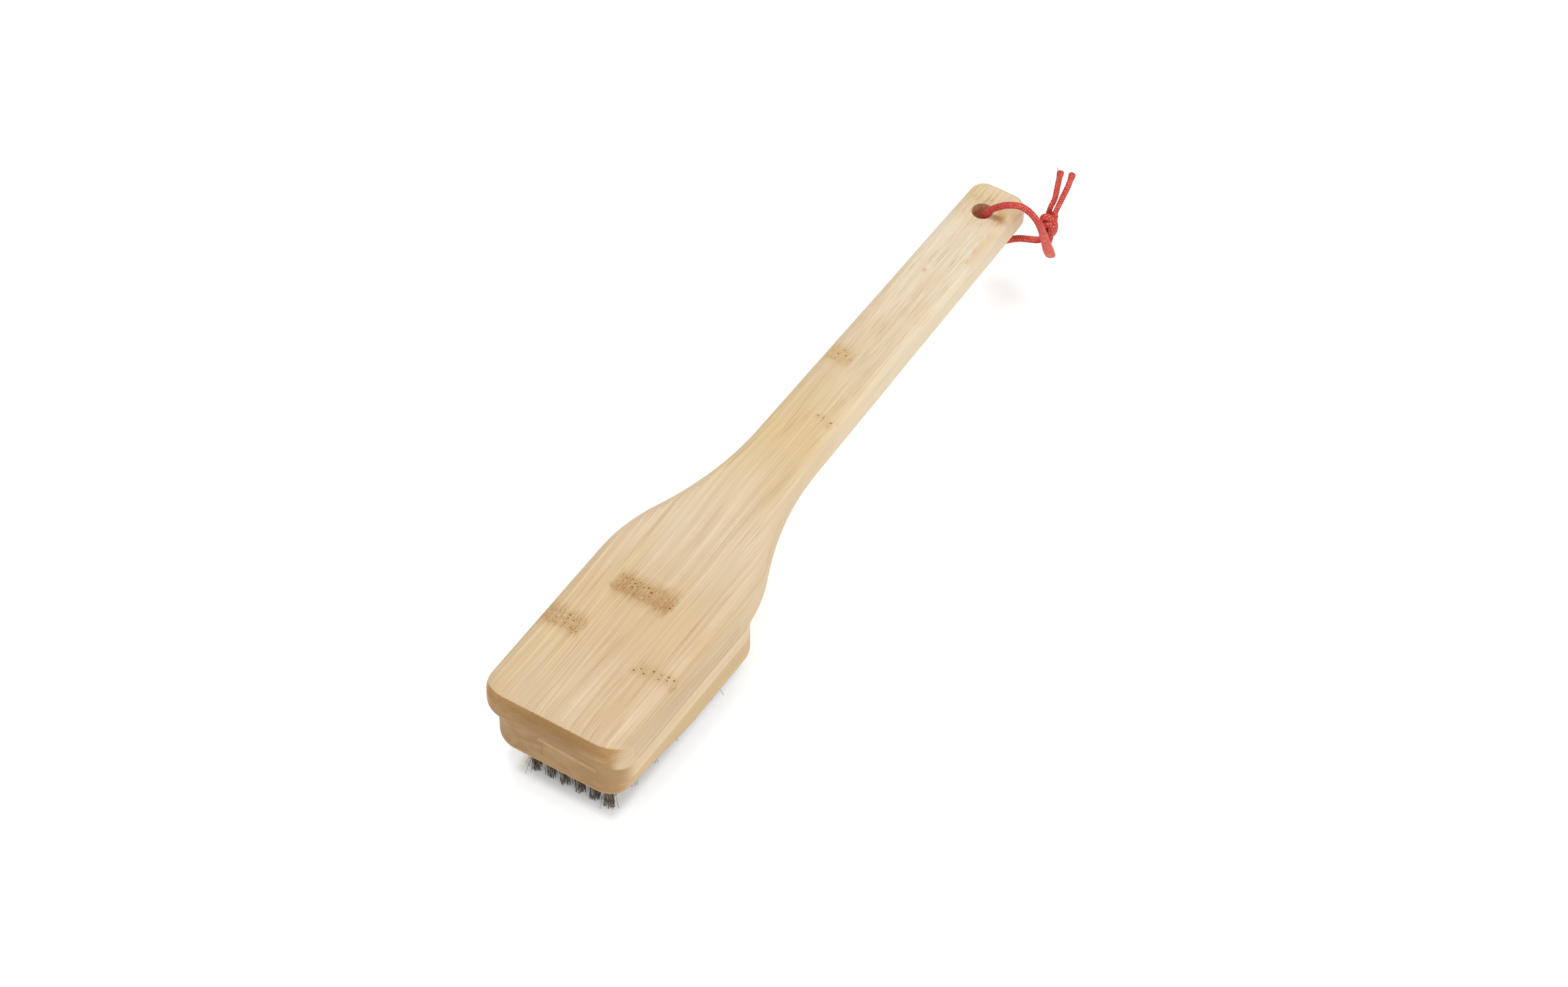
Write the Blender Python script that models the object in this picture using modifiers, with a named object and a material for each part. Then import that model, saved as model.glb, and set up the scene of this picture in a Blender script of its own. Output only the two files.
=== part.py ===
"""Bamboo grill brush with wire tufts and a knotted hanging lanyard.

A paddle-shaped bamboo board carries a two-layer bamboo block glued under its
head. Thirteen staggered rows of steel wire tufts stand in the block, and a
braided lanyard is threaded through the hole at the handle's end.

Frame: metres, +Z up, the brush standing on its tufts at Z = 0, +Y from the
head to the handle's end, X across, and the board centred on X = Y = 0.
"""

import math
import random

import bmesh
import bpy
from mathutils import Matrix, Vector

# Board
BOARD_LENGTH = 0.300
BOARD_THICKNESS = 0.0137
BOARD_EDGE_ROUND = 0.0050
HEAD_WIDTH = 0.0582
HEAD_CORNER = 0.0102
SHOULDER_START = 0.0756       # where the straight head sides end, from the front
NECK_START = 0.1528           # where the shoulder has run out into the handle
SHOULDER_ROUND_SHARE = 0.343  # of the ogee, what the outer arc takes
NECK_WIDTH = 0.0260
HANDLE_END_WIDTH = 0.0223
HANDLE_END_CORNER = 0.0054
HANDLE_END_CROWN = 0.0005

# Hole for the lanyard
HANGING_HOLE_DIAMETER = 0.0077
HANGING_HOLE_INSET = 0.0159   # hole centre from the handle's end
HANGING_HOLE_CHAMFER = 0.0004

# Block of two glued layers under the head
BLOCK_LENGTH = 0.0870
BLOCK_WIDTH = 0.0568
BLOCK_CORNER = 0.0118
BLOCK_FRONT_INSET = 0.0043
UPPER_LAYER_THICKNESS = 0.0110
LOWER_LAYER_THICKNESS = 0.0056
BLOCK_EDGE_ROUND = 0.0007

# Tufts
TUFT_ROWS = 13
TUFTS_PER_ROW = 6
FIRST_ROW_INSET = 0.0057      # first row from the block's front
LAST_ROW_INSET = 0.0093       # last row from the block's back
TUFT_SIDE_INSET = 0.01345     # mean place of a row's end tufts from the block's sides
TUFT_FIELD_OFFSET = 0.0018    # middle of the field from the block's centre line
ROW_STAGGER = 0.0015          # each row steps this far to one side, then the other
TUFT_FREE_LENGTH = 0.0128
TUFT_ROOT_RADIUS = 0.00105
TUFT_TIP_RADIUS = 0.00185
LEAST_SPLAY_SHARE = 0.75      # the least that a strand splays, of the tip radius
STRANDS_PER_TUFT = 6
STRAND_SIDES = 3
STRAND_RADIUS = 0.00042
STRAND_TRIM = 0.0008          # the most that a short strand stops above the tips
STRAND_SEED = 11
BACKING_DEPTH = 0.0030
BACKING_SIDE_MARGIN = 0.0020  # backing beyond the outermost tuft centre
ROOT_OVERLAP = 0.0005         # how far a strand starts inside its backing

# Lanyard
CORD_DIAMETER = 0.0026
KNOT_WRAP_RADIUS = 0.0023     # centre line of a wrap around the two strands
KNOT_WRAP_TILT_DEG = 20.0
KNOT_WRAP_SPACING = 0.0027
KNOT_WRAP_DROP = 0.0005       # wraps below the middle of the knot
KNOT_STRAND_GAP = 0.0001      # between the two strands inside the knot

# Clearances and fineness
JOINT_GAP = 0.0003            # between faces that touch or are glued
CUT_OVERRUN = 0.0010
WELD_DISTANCE = 0.000001
RIM_LIMIT_SHARE = 0.49        # a rim never takes more than this of the thickness
ROUND_PROFILE_SHARE = 0.5
ARC_STEPS = 7
EDGE_RINGS = 3
BORE_SIDES = 28
KNOT_SIDES = 12
WRAP_STEPS = 20
CORD_RESOLUTION = 2
CORD_STEPS_PER_SPAN = 2
ROUTE_LEVELS = 4              # heights at which the gaps between wires are measured

# Lanyard route, chosen by hand: from the middle of the hole, up and over the
# handle's side, down to a folded bight and back up into the knot.
OVER_ROUTE = [
    (0.0016, 0.1331, 0.0370),
    (0.0016, 0.1331, 0.0413),
    (0.0026, 0.1333, 0.0451),
    (0.0054, 0.1343, 0.0481),
    (0.0092, 0.1356, 0.0504),
    (0.0135, 0.1373, 0.0509),
    (0.0165, 0.1384, 0.0493),
    (0.0192, 0.1392, 0.0463),
    (0.0212, 0.1396, 0.0431),
    (0.0229, 0.1396, 0.0394),
    (0.0245, 0.1394, 0.0355),
    (0.0256, 0.1399, 0.0314),
    (0.0256, 0.1413, 0.0278),
    (0.0237, 0.1430, 0.0266),
    (0.0221, 0.1440, 0.0281),
    (0.0227, 0.1443, 0.0311),
    (0.0229, 0.1448, 0.0334),
]
# The other half: out of the hole's underside and sideways into the knot.
UNDER_ROUTE = [
    (0.0016, 0.1331, 0.0367),
    (0.0016, 0.1331, 0.0323),
    (0.0024, 0.1338, 0.0285),
    (0.0046, 0.1370, 0.0266),
    (0.0073, 0.1408, 0.0265),
    (0.0110, 0.1427, 0.0278),
    (0.0153, 0.1433, 0.0293),
    (0.0184, 0.1440, 0.0301),
    (0.0200, 0.1451, 0.0313),
    (0.0201, 0.1457, 0.0330),
]
LEFT_TAIL_ROUTE = [
    (0.0200, 0.1485, 0.0419),
    (0.0201, 0.1493, 0.0437),
    (0.0202, 0.1520, 0.0462),
    (0.0193, 0.1553, 0.0497),
    (0.0182, 0.1591, 0.0535),
]
RIGHT_TAIL_ROUTE = [
    (0.0228, 0.1476, 0.0423),
    (0.0229, 0.1484, 0.0440),
    (0.0231, 0.1520, 0.0473),
    (0.0233, 0.1559, 0.0509),
    (0.0229, 0.1598, 0.0543),
]

# Levels and places that follow from the sizes
BLOCK_BOTTOM_Z = TUFT_FREE_LENGTH
LOWER_LAYER_TOP_Z = BLOCK_BOTTOM_Z + LOWER_LAYER_THICKNESS
UPPER_LAYER_BOTTOM_Z = LOWER_LAYER_TOP_Z + JOINT_GAP
UPPER_LAYER_TOP_Z = UPPER_LAYER_BOTTOM_Z + UPPER_LAYER_THICKNESS
BOARD_BOTTOM_Z = UPPER_LAYER_TOP_Z + JOINT_GAP
BOARD_MID_Z = BOARD_BOTTOM_Z + BOARD_THICKNESS / 2

FRONT_Y = -BOARD_LENGTH / 2
END_Y = BOARD_LENGTH / 2
HOLE_Y = END_Y - HANGING_HOLE_INSET
BLOCK_FRONT_Y = FRONT_Y + BLOCK_FRONT_INSET
BLOCK_MID_Y = BLOCK_FRONT_Y + BLOCK_LENGTH / 2
FIRST_ROW_Y = BLOCK_FRONT_Y + FIRST_ROW_INSET
ROW_PITCH = (BLOCK_LENGTH - FIRST_ROW_INSET - LAST_ROW_INSET) / (TUFT_ROWS - 1)
TUFT_PITCH = (BLOCK_WIDTH - 2 * TUFT_SIDE_INSET) / (TUFTS_PER_ROW - 1)
FIELD_MID_Y = FIRST_ROW_Y + (TUFT_ROWS - 1) * ROW_PITCH / 2
BACKING_WIDTH = (TUFTS_PER_ROW - 1) * TUFT_PITCH + 2 * (ROW_STAGGER + BACKING_SIDE_MARGIN)


def clear_scene():
    for old in list(bpy.data.objects):
        bpy.data.objects.remove(old, do_unlink=True)


def new_collection(name):
    collection = bpy.data.collections.new(name)
    bpy.context.scene.collection.children.link(collection)
    return collection


def make_material(name, colour, roughness, metallic=0.0):
    material = bpy.data.materials.new(name)
    material.use_nodes = True
    shader = material.node_tree.nodes["Principled BSDF"]
    shader.inputs["Base Color"].default_value = (*colour, 1.0)
    shader.inputs["Roughness"].default_value = roughness
    shader.inputs["Metallic"].default_value = metallic
    material.diffuse_color = (*colour, 1.0)
    return material


def finish(obj, collection, material, parent):
    """Put a finished piece in its collection, with its material and parent."""
    for owner in list(obj.users_collection):
        owner.objects.unlink(obj)
    collection.objects.link(obj)
    obj.data.materials.clear()
    obj.data.materials.append(material)
    obj.parent = parent
    if parent is not None:
        obj.matrix_parent_inverse = Matrix.Translation(-parent.location)
    return obj


def arc(centre, radius, start_deg, end_deg, steps=ARC_STEPS):
    """Points on a circular arc, both ends included."""
    points = []
    for i in range(steps + 1):
        angle = math.radians(start_deg + (end_deg - start_deg) * i / steps)
        points.append((centre[0] + radius * math.cos(angle),
                       centre[1] + radius * math.sin(angle)))
    return points


def mesh_from_curve(curve_object):
    """Replace a curve object by its mesh, with the loose caps welded on."""
    depsgraph = bpy.context.evaluated_depsgraph_get()
    mesh = bpy.data.meshes.new_from_object(curve_object.evaluated_get(depsgraph))
    work = bmesh.new()
    work.from_mesh(mesh)
    bmesh.ops.remove_doubles(work, verts=work.verts, dist=WELD_DISTANCE)
    bmesh.ops.recalc_face_normals(work, faces=work.faces)
    work.to_mesh(mesh)
    work.free()
    solid = bpy.data.objects.new(curve_object.name, mesh)
    solid.matrix_world = curve_object.matrix_world
    bpy.context.scene.collection.objects.link(solid)
    name = curve_object.name
    bpy.data.objects.remove(curve_object, do_unlink=True)
    solid.name = name
    return solid


def rounded_slab(name, outline, thickness, edge_round, middle_z):
    """A flat outline thickened about middle_z, its rims rounded inside the outline."""
    edge_round = min(edge_round, thickness * RIM_LIMIT_SHARE)
    curve = bpy.data.curves.new(name, "CURVE")
    curve.dimensions = "2D"
    curve.fill_mode = "BOTH"
    curve.extrude = thickness / 2 - edge_round
    curve.bevel_depth = edge_round
    curve.bevel_resolution = EDGE_RINGS
    curve.offset = -edge_round
    spline = curve.splines.new("POLY")
    spline.points.add(len(outline) - 1)
    for point, (x, y) in zip(spline.points, outline):
        point.co = (x, y, 0, 1)
    spline.use_cyclic_u = True
    slab = bpy.data.objects.new(name, curve)
    slab.location = (0, 0, middle_z)
    bpy.context.scene.collection.objects.link(slab)
    bpy.context.view_layer.update()
    return mesh_from_curve(slab)


def apply_boolean(target, tool, operation):
    """Cut target by tool, or join tool into it, and drop the tool."""
    modifier = target.modifiers.new(operation.title(), "BOOLEAN")
    modifier.operation = operation
    modifier.object = tool
    depsgraph = bpy.context.evaluated_depsgraph_get()
    mesh = bpy.data.meshes.new_from_object(target.evaluated_get(depsgraph))
    target.modifiers.clear()
    target.data = mesh
    bpy.data.objects.remove(tool, do_unlink=True)


def as_cutter(obj, name, cutters):
    """Keep a tool body out of the picture, in the cutters' own collection."""
    for owner in list(obj.users_collection):
        owner.objects.unlink(obj)
    cutters.objects.link(obj)
    obj.name = name
    obj.hide_render = True
    obj.display_type = "WIRE"
    return obj


def shade_round(obj, sharp_deg=40.0):
    obj.data.shade_smooth()
    obj.data.set_sharp_from_angle(angle=math.radians(sharp_deg))


def board_outline():
    """Paddle outline, anticlockwise: square head, ogee shoulders, tapered handle."""
    head = HEAD_WIDTH / 2
    neck = NECK_WIDTH / 2
    end = HANDLE_END_WIDTH / 2
    run = NECK_START - SHOULDER_START
    drop = head - neck
    lean = 2 * math.atan2(drop, run)
    both_radii = run / math.sin(lean)
    outer = both_radii * SHOULDER_ROUND_SHARE
    inner = both_radii - outer
    lean_deg = math.degrees(lean)
    shoulder_y = FRONT_Y + SHOULDER_START
    neck_y = FRONT_Y + NECK_START

    right = arc((head - HEAD_CORNER, FRONT_Y + HEAD_CORNER), HEAD_CORNER, -90, 0)
    right += arc((head - outer, shoulder_y), outer, 0, lean_deg)
    right += arc((neck + inner, neck_y), inner, 180 + lean_deg, 180)[1:]
    right += arc((end - HANDLE_END_CORNER, END_Y - HANDLE_END_CROWN - HANDLE_END_CORNER),
                 HANDLE_END_CORNER, 0, 90)
    left = [(-x, y) for x, y in reversed(right)]
    return right + [(0, END_Y)] + left


def make_handle_board(cutters):
    board = rounded_slab("handle_board", board_outline(), BOARD_THICKNESS,
                         BOARD_EDGE_ROUND, BOARD_MID_Z)
    apply_boolean(board, hanging_hole_cutter(cutters), "DIFFERENCE")
    shade_round(board)
    return board


def hanging_hole_cutter(cutters):
    """A turned bore with a chamfer at both faces of the board."""
    bore = HANGING_HOLE_DIAMETER / 2
    mouth = bore + HANGING_HOLE_CHAMFER + CUT_OVERRUN
    reach = BOARD_THICKNESS / 2 + CUT_OVERRUN
    flare = BOARD_THICKNESS / 2 - HANGING_HOLE_CHAMFER
    profile = [(0, reach), (mouth, reach), (bore, flare),
               (bore, -flare), (mouth, -reach), (0, -reach)]
    mesh = bpy.data.meshes.new("hole_profile")
    mesh.from_pydata([(x, 0, z) for x, z in profile],
                     [(i, i + 1) for i in range(len(profile) - 1)], [])
    cutter = as_cutter(bpy.data.objects.new("hole_cutter", mesh), "hole_cutter", cutters)
    cutter.location = (0, HOLE_Y, BOARD_MID_Z)
    screw = cutter.modifiers.new("Turn", "SCREW")
    screw.steps = screw.render_steps = BORE_SIDES
    screw.use_merge_vertices = True
    screw.merge_threshold = WELD_DISTANCE
    return cutter


def block_outline():
    half_width = BLOCK_WIDTH / 2
    half_length = BLOCK_LENGTH / 2
    inner_x = half_width - BLOCK_CORNER
    inner_y = half_length - BLOCK_CORNER
    corners = [((inner_x, -inner_y), -90), ((inner_x, inner_y), 0),
               ((-inner_x, inner_y), 90), ((-inner_x, -inner_y), 180)]
    points = []
    for (x, y), start in corners:
        points += arc((x, y + BLOCK_MID_Y), BLOCK_CORNER, start, start + 90)
    return points


def extruded_layer(name, bottom_z, thickness):
    """One glued layer of the block, square-edged."""
    mesh = bpy.data.meshes.new(name)
    work = bmesh.new()
    ring = [work.verts.new((x, y, bottom_z)) for x, y in block_outline()]
    face = work.faces.new(ring)
    grown = bmesh.ops.extrude_face_region(work, geom=[face])
    top = [item for item in grown["geom"] if isinstance(item, bmesh.types.BMVert)]
    bmesh.ops.translate(work, verts=top, vec=(0, 0, thickness))
    bmesh.ops.recalc_face_normals(work, faces=work.faces)
    work.to_mesh(mesh)
    work.free()
    layer = bpy.data.objects.new(name, mesh)
    bpy.context.scene.collection.objects.link(layer)
    return layer


def make_upper_layer():
    layer = extruded_layer("block_upper_layer", UPPER_LAYER_BOTTOM_Z, UPPER_LAYER_THICKNESS)
    shade_round(layer)
    return layer


def make_lower_layer(cutters):
    """The lower layer, its foot rounded, with the pocket that holds the tuft backings."""
    layer = extruded_layer("block_lower_layer", BLOCK_BOTTOM_Z, LOWER_LAYER_THICKNESS)
    work = bmesh.new()
    work.from_mesh(layer.data)
    foot = [edge for edge in work.edges
            if all(abs(v.co.z - BLOCK_BOTTOM_Z) < JOINT_GAP for v in edge.verts)]
    bmesh.ops.bevel(work, geom=foot, offset=BLOCK_EDGE_ROUND, segments=EDGE_RINGS,
                    profile=ROUND_PROFILE_SHARE, affect="EDGES")
    work.to_mesh(layer.data)
    work.free()

    pocket_width = BACKING_WIDTH + 2 * JOINT_GAP
    pocket_length = TUFT_ROWS * ROW_PITCH + JOINT_GAP
    depth = BACKING_DEPTH + JOINT_GAP + CUT_OVERRUN
    bpy.ops.mesh.primitive_cube_add(
        size=1, scale=(pocket_width, pocket_length, depth),
        location=(TUFT_FIELD_OFFSET, FIELD_MID_Y, BLOCK_BOTTOM_Z - CUT_OVERRUN + depth / 2))
    cutter = as_cutter(bpy.context.object, "pocket_cutter", cutters)
    apply_boolean(layer, cutter, "DIFFERENCE")
    shade_round(layer)
    return layer


def strand_mesh(work, root, tip):
    """One wire: a slim prism sheared from its root to its tip, both ends level."""
    made = bmesh.ops.create_cone(work, cap_ends=True, segments=STRAND_SIDES,
                                 radius1=STRAND_RADIUS, radius2=STRAND_RADIUS,
                                 depth=root.z - tip.z)
    lean = (root - tip) / (root.z - tip.z)
    middle = (root + tip) / 2
    shear = Matrix.Identity(4)
    shear[0][2] = lean.x
    shear[1][2] = lean.y
    bmesh.ops.transform(work, matrix=Matrix.Translation(middle) @ shear, verts=made["verts"])


def tuft_strands(centre_x, centre_y, rng):
    """Root and tip of each wire in a tuft, fanned out so that none cross."""
    turn = rng.uniform(0, math.tau)
    strands = []
    for i in range(STRANDS_PER_TUFT):
        angle = turn + math.tau * i / STRANDS_PER_TUFT
        out = Vector((math.cos(angle), math.sin(angle), 0))
        splay = rng.uniform(LEAST_SPLAY_SHARE, 1)
        trim = STRAND_TRIM * rng.uniform(0, 1) if i % 2 else 0
        root = Vector((centre_x, centre_y, BLOCK_BOTTOM_Z + ROOT_OVERLAP))
        tip = Vector((centre_x, centre_y, trim))
        strands.append((root + out * TUFT_ROOT_RADIUS, tip + out * TUFT_TIP_RADIUS * splay))
    return strands


def make_tuft_row(index, rng, cutters):
    """One row: a strip of backing with the wires of its tufts fused to it."""
    row_y = FIRST_ROW_Y + index * ROW_PITCH
    stagger = ROW_STAGGER if index % 2 == 0 else -ROW_STAGGER
    bpy.ops.mesh.primitive_cube_add(
        size=1, scale=(BACKING_WIDTH, ROW_PITCH - JOINT_GAP, BACKING_DEPTH),
        location=(TUFT_FIELD_OFFSET, row_y, BLOCK_BOTTOM_Z + BACKING_DEPTH / 2))
    row = bpy.context.object
    row.name = f"tuft_row_{index + 1:02d}"
    bpy.ops.object.transform_apply(location=True, rotation=False, scale=True)

    strands = []
    for i in range(TUFTS_PER_ROW):
        tuft_x = TUFT_FIELD_OFFSET + stagger + (i - (TUFTS_PER_ROW - 1) / 2) * TUFT_PITCH
        strands += tuft_strands(tuft_x, row_y, rng)
    work = bmesh.new()
    for root, tip in strands:
        strand_mesh(work, root, tip)
    mesh = bpy.data.meshes.new("row_strands")
    work.to_mesh(mesh)
    work.free()
    tool = as_cutter(bpy.data.objects.new("row_strands", mesh), "row_strands", cutters)
    apply_boolean(row, tool, "UNION")
    return row, strands


def least_strand_gap(strands):
    """Smallest clear distance between two wires, measured level by level."""
    least = math.inf
    for level in range(ROUTE_LEVELS + 1):
        share = level / ROUTE_LEVELS
        places = [root.lerp(tip, share) for root, tip in strands]
        for i, a in enumerate(places):
            for b in places[i + 1:]:
                least = min(least, (a.xy - b.xy).length)
    return least - 2 * STRAND_RADIUS


def smooth_route(points, steps=CORD_STEPS_PER_SPAN):
    """Points on a Catmull-Rom curve through the route, ends included."""
    knots = [Vector(p) for p in points]
    knots = [2 * knots[0] - knots[1]] + knots + [2 * knots[-1] - knots[-2]]
    result = []
    for a, b, c, d in zip(knots, knots[1:], knots[2:], knots[3:]):
        for i in range(steps):
            t = i / steps
            result.append(0.5 * (2 * b + (c - a) * t + (2 * a - 5 * b + 4 * c - d) * t ** 2
                                 + (3 * b - 3 * c + d - a) * t ** 3))
    result.append(knots[-2])
    return result


def make_cord(name, route):
    """A plain round cord along a route, with flat closed ends."""
    curve = bpy.data.curves.new(name, "CURVE")
    curve.dimensions = "3D"
    curve.bevel_depth = CORD_DIAMETER / 2
    curve.bevel_resolution = CORD_RESOLUTION
    curve.use_fill_caps = True
    points = smooth_route(route)
    spline = curve.splines.new("POLY")
    spline.points.add(len(points) - 1)
    for point, place in zip(spline.points, points):
        point.co = (*place, 1)
    cord = bpy.data.objects.new(name, curve)
    bpy.context.scene.collection.objects.link(cord)
    bpy.context.view_layer.update()
    solid = mesh_from_curve(cord)
    shade_round(solid, sharp_deg=60.0)
    return solid


def knot_frame():
    """Centre, height and axes of the knot, from the cord ends that it joins."""
    entries = [Vector(OVER_ROUTE[-1]), Vector(UNDER_ROUTE[-1])]
    exits = [Vector(LEFT_TAIL_ROUTE[0]), Vector(RIGHT_TAIL_ROUTE[0])]
    foot = (entries[0] + entries[1]) / 2
    head = (exits[0] + exits[1]) / 2
    up = (head - foot).normalized()
    side = entries[0] - entries[1]
    side = (side - up * side.dot(up)).normalized()
    return (foot + head) / 2, (head - foot).length, up, side


def make_knot():
    """An overhand knot of both strands: two stubs with two wraps drawn round them."""
    centre, height, up, side = knot_frame()
    depth = up.cross(side)
    pose = Matrix.Translation(centre) @ Matrix((side, depth, up)).transposed().to_4x4()
    radius = CORD_DIAMETER / 2
    spread = radius + KNOT_STRAND_GAP / 2

    pieces = []
    for sign in (-1, 1):
        bpy.ops.mesh.primitive_cylinder_add(
            vertices=KNOT_SIDES, radius=radius, depth=height - 2 * JOINT_GAP,
            location=(sign * spread, 0, 0))
        pieces.append(bpy.context.object)
    for sign in (-1, 1):
        bpy.ops.mesh.primitive_torus_add(
            major_segments=WRAP_STEPS, minor_segments=KNOT_SIDES,
            major_radius=KNOT_WRAP_RADIUS, minor_radius=radius,
            location=(0, 0, sign * KNOT_WRAP_SPACING / 2 - KNOT_WRAP_DROP),
            rotation=(0, math.radians(sign * KNOT_WRAP_TILT_DEG), 0))
        wrap = bpy.context.object
        wrap.scale = ((KNOT_WRAP_RADIUS + spread / 2) / KNOT_WRAP_RADIUS, 1, 1)
        pieces.append(wrap)
    knot = pieces[0]
    for piece in pieces[1:]:
        apply_boolean(knot, piece, "UNION")
    knot.name = "lanyard_knot"
    knot.data.transform(pose @ knot.matrix_world)
    knot.matrix_world = Matrix.Identity(4)
    shade_round(knot, sharp_deg=60.0)
    return knot


def main():
    clear_scene()
    brush = new_collection("grill_brush")
    cutters = new_collection("cutters")

    bamboo = make_material("bamboo_board", (0.70, 0.53, 0.33), 0.55)
    block_bamboo = make_material("bamboo_block", (0.58, 0.40, 0.21), 0.60)
    wire = make_material("tuft_wire", (0.11, 0.095, 0.08), 0.45, 0.8)
    cord_red = make_material("lanyard_cord", (0.60, 0.050, 0.042), 0.75)

    finish(make_handle_board(cutters), brush, bamboo, None)
    finish(make_upper_layer(), brush, block_bamboo, None)
    finish(make_lower_layer(cutters), brush, block_bamboo, None)

    rng = random.Random(STRAND_SEED)
    all_strands = []
    for index in range(TUFT_ROWS):
        row, strands = make_tuft_row(index, rng, cutters)
        all_strands += strands
        finish(row, brush, wire, None)
    print(f"{len(all_strands)} wires, least gap {least_strand_gap(all_strands) * 1000:.2f} mm")

    swing = bpy.data.objects.new("lanyard_swing_axis", None)
    swing.location = (0, HOLE_Y, BOARD_MID_Z)
    brush.objects.link(swing)
    bpy.context.view_layer.update()
    finish(make_cord("lanyard_over_strand", OVER_ROUTE), brush, cord_red, swing)
    finish(make_cord("lanyard_under_strand", UNDER_ROUTE), brush, cord_red, swing)
    finish(make_knot(), brush, cord_red, swing)
    finish(make_cord("lanyard_tail_left", LEFT_TAIL_ROUTE), brush, cord_red, swing)
    finish(make_cord("lanyard_tail_right", RIGHT_TAIL_ROUTE), brush, cord_red, swing)


main()
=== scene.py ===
"""Looks of the bamboo grill brush: bamboo board and block, steel tufts, red cord.

Lengths are in metres. The patterns in the finishes are written in millimetres
of the piece's own place, because their streaks and dots are that small.
"""

import math
import random

import bmesh
import bpy
from mathutils import Matrix, Vector


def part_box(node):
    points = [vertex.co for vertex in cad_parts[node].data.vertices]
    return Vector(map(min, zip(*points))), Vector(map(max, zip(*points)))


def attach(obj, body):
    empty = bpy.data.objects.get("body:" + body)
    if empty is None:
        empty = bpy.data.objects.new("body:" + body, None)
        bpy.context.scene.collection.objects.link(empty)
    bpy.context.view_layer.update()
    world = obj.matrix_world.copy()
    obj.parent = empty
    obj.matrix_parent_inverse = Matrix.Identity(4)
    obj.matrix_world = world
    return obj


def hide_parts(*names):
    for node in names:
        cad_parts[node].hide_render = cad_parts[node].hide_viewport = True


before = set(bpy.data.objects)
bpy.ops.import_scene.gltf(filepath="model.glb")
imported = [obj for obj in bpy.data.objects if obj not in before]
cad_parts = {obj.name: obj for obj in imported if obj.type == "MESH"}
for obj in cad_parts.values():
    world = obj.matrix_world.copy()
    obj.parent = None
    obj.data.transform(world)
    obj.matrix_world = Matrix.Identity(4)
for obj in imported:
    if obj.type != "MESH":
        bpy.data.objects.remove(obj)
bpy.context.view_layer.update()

BODY = "brush"
CORD_BODY = "lanyard"
MM = 0.001


# ---- camera, light and floor

LENS_PX = 7738.95             # focal length in pixels of the whole picture
PICTURE_WIDTH_PX = 2408
SENSOR = 36.0
AIM = Vector((0.012854, -0.021037, 0.0437))
DISTANCE = 1.758379
AZIMUTH, ELEVATION, ROLL = (math.radians(a) for a in (32.392, 48.966, 0.289))


def add_object(name, data):
    added = bpy.data.objects.new(name, data)
    bpy.context.scene.collection.objects.link(added)
    return added


def make_camera():
    back = Vector((math.sin(AZIMUTH) * math.cos(ELEVATION),
                   -math.cos(AZIMUTH) * math.cos(ELEVATION), math.sin(ELEVATION)))
    level = Vector((math.cos(AZIMUTH), math.sin(AZIMUTH), 0))
    upright = back.cross(level)
    right = math.cos(ROLL) * level + math.sin(ROLL) * upright
    up = math.cos(ROLL) * upright - math.sin(ROLL) * level
    data = bpy.data.cameras.new("camera")
    data.sensor_width = SENSOR
    data.lens = LENS_PX * SENSOR / PICTURE_WIDTH_PX
    data.clip_start, data.clip_end = 0.05, 50
    camera = add_object("camera", data)
    turn = Matrix((right, up, back)).transposed().to_4x4()
    camera.matrix_world = Matrix.Translation(AIM + back * DISTANCE) @ turn
    bpy.context.scene.camera = camera


LAMPS_AIM = Vector((0, 0, 0.03))


def softbox(name, place, size, watts):
    data = bpy.data.lights.new(name, "AREA")
    data.shape = "SQUARE"
    data.size = size
    data.energy = watts
    lamp = add_object(name, data)
    lamp.location = place
    lamp.rotation_euler = (LAMPS_AIM - lamp.location).to_track_quat("-Z", "Y").to_euler()


# ---- finishes written as sums

class Value:
    """A shader socket that can be added, multiplied and so on like a number."""

    def __init__(self, finish, socket):
        self.finish, self.socket = finish, socket

    def _sum(self, operation, a, b):
        return self.finish.maths(operation, a, b)

    def __add__(self, other): return self._sum("ADD", self, other)
    def __radd__(self, other): return self._sum("ADD", other, self)
    def __sub__(self, other): return self._sum("SUBTRACT", self, other)
    def __rsub__(self, other): return self._sum("SUBTRACT", other, self)
    def __mul__(self, other): return self._sum("MULTIPLY", self, other)
    def __rmul__(self, other): return self._sum("MULTIPLY", other, self)
    def __truediv__(self, other): return self._sum("DIVIDE", self, other)
    def __pow__(self, other): return self._sum("POWER", self, other)
    def __neg__(self): return self._sum("MULTIPLY", self, -1.0)
    def __abs__(self): return self._sum("ABSOLUTE", self, 0.0)


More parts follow.
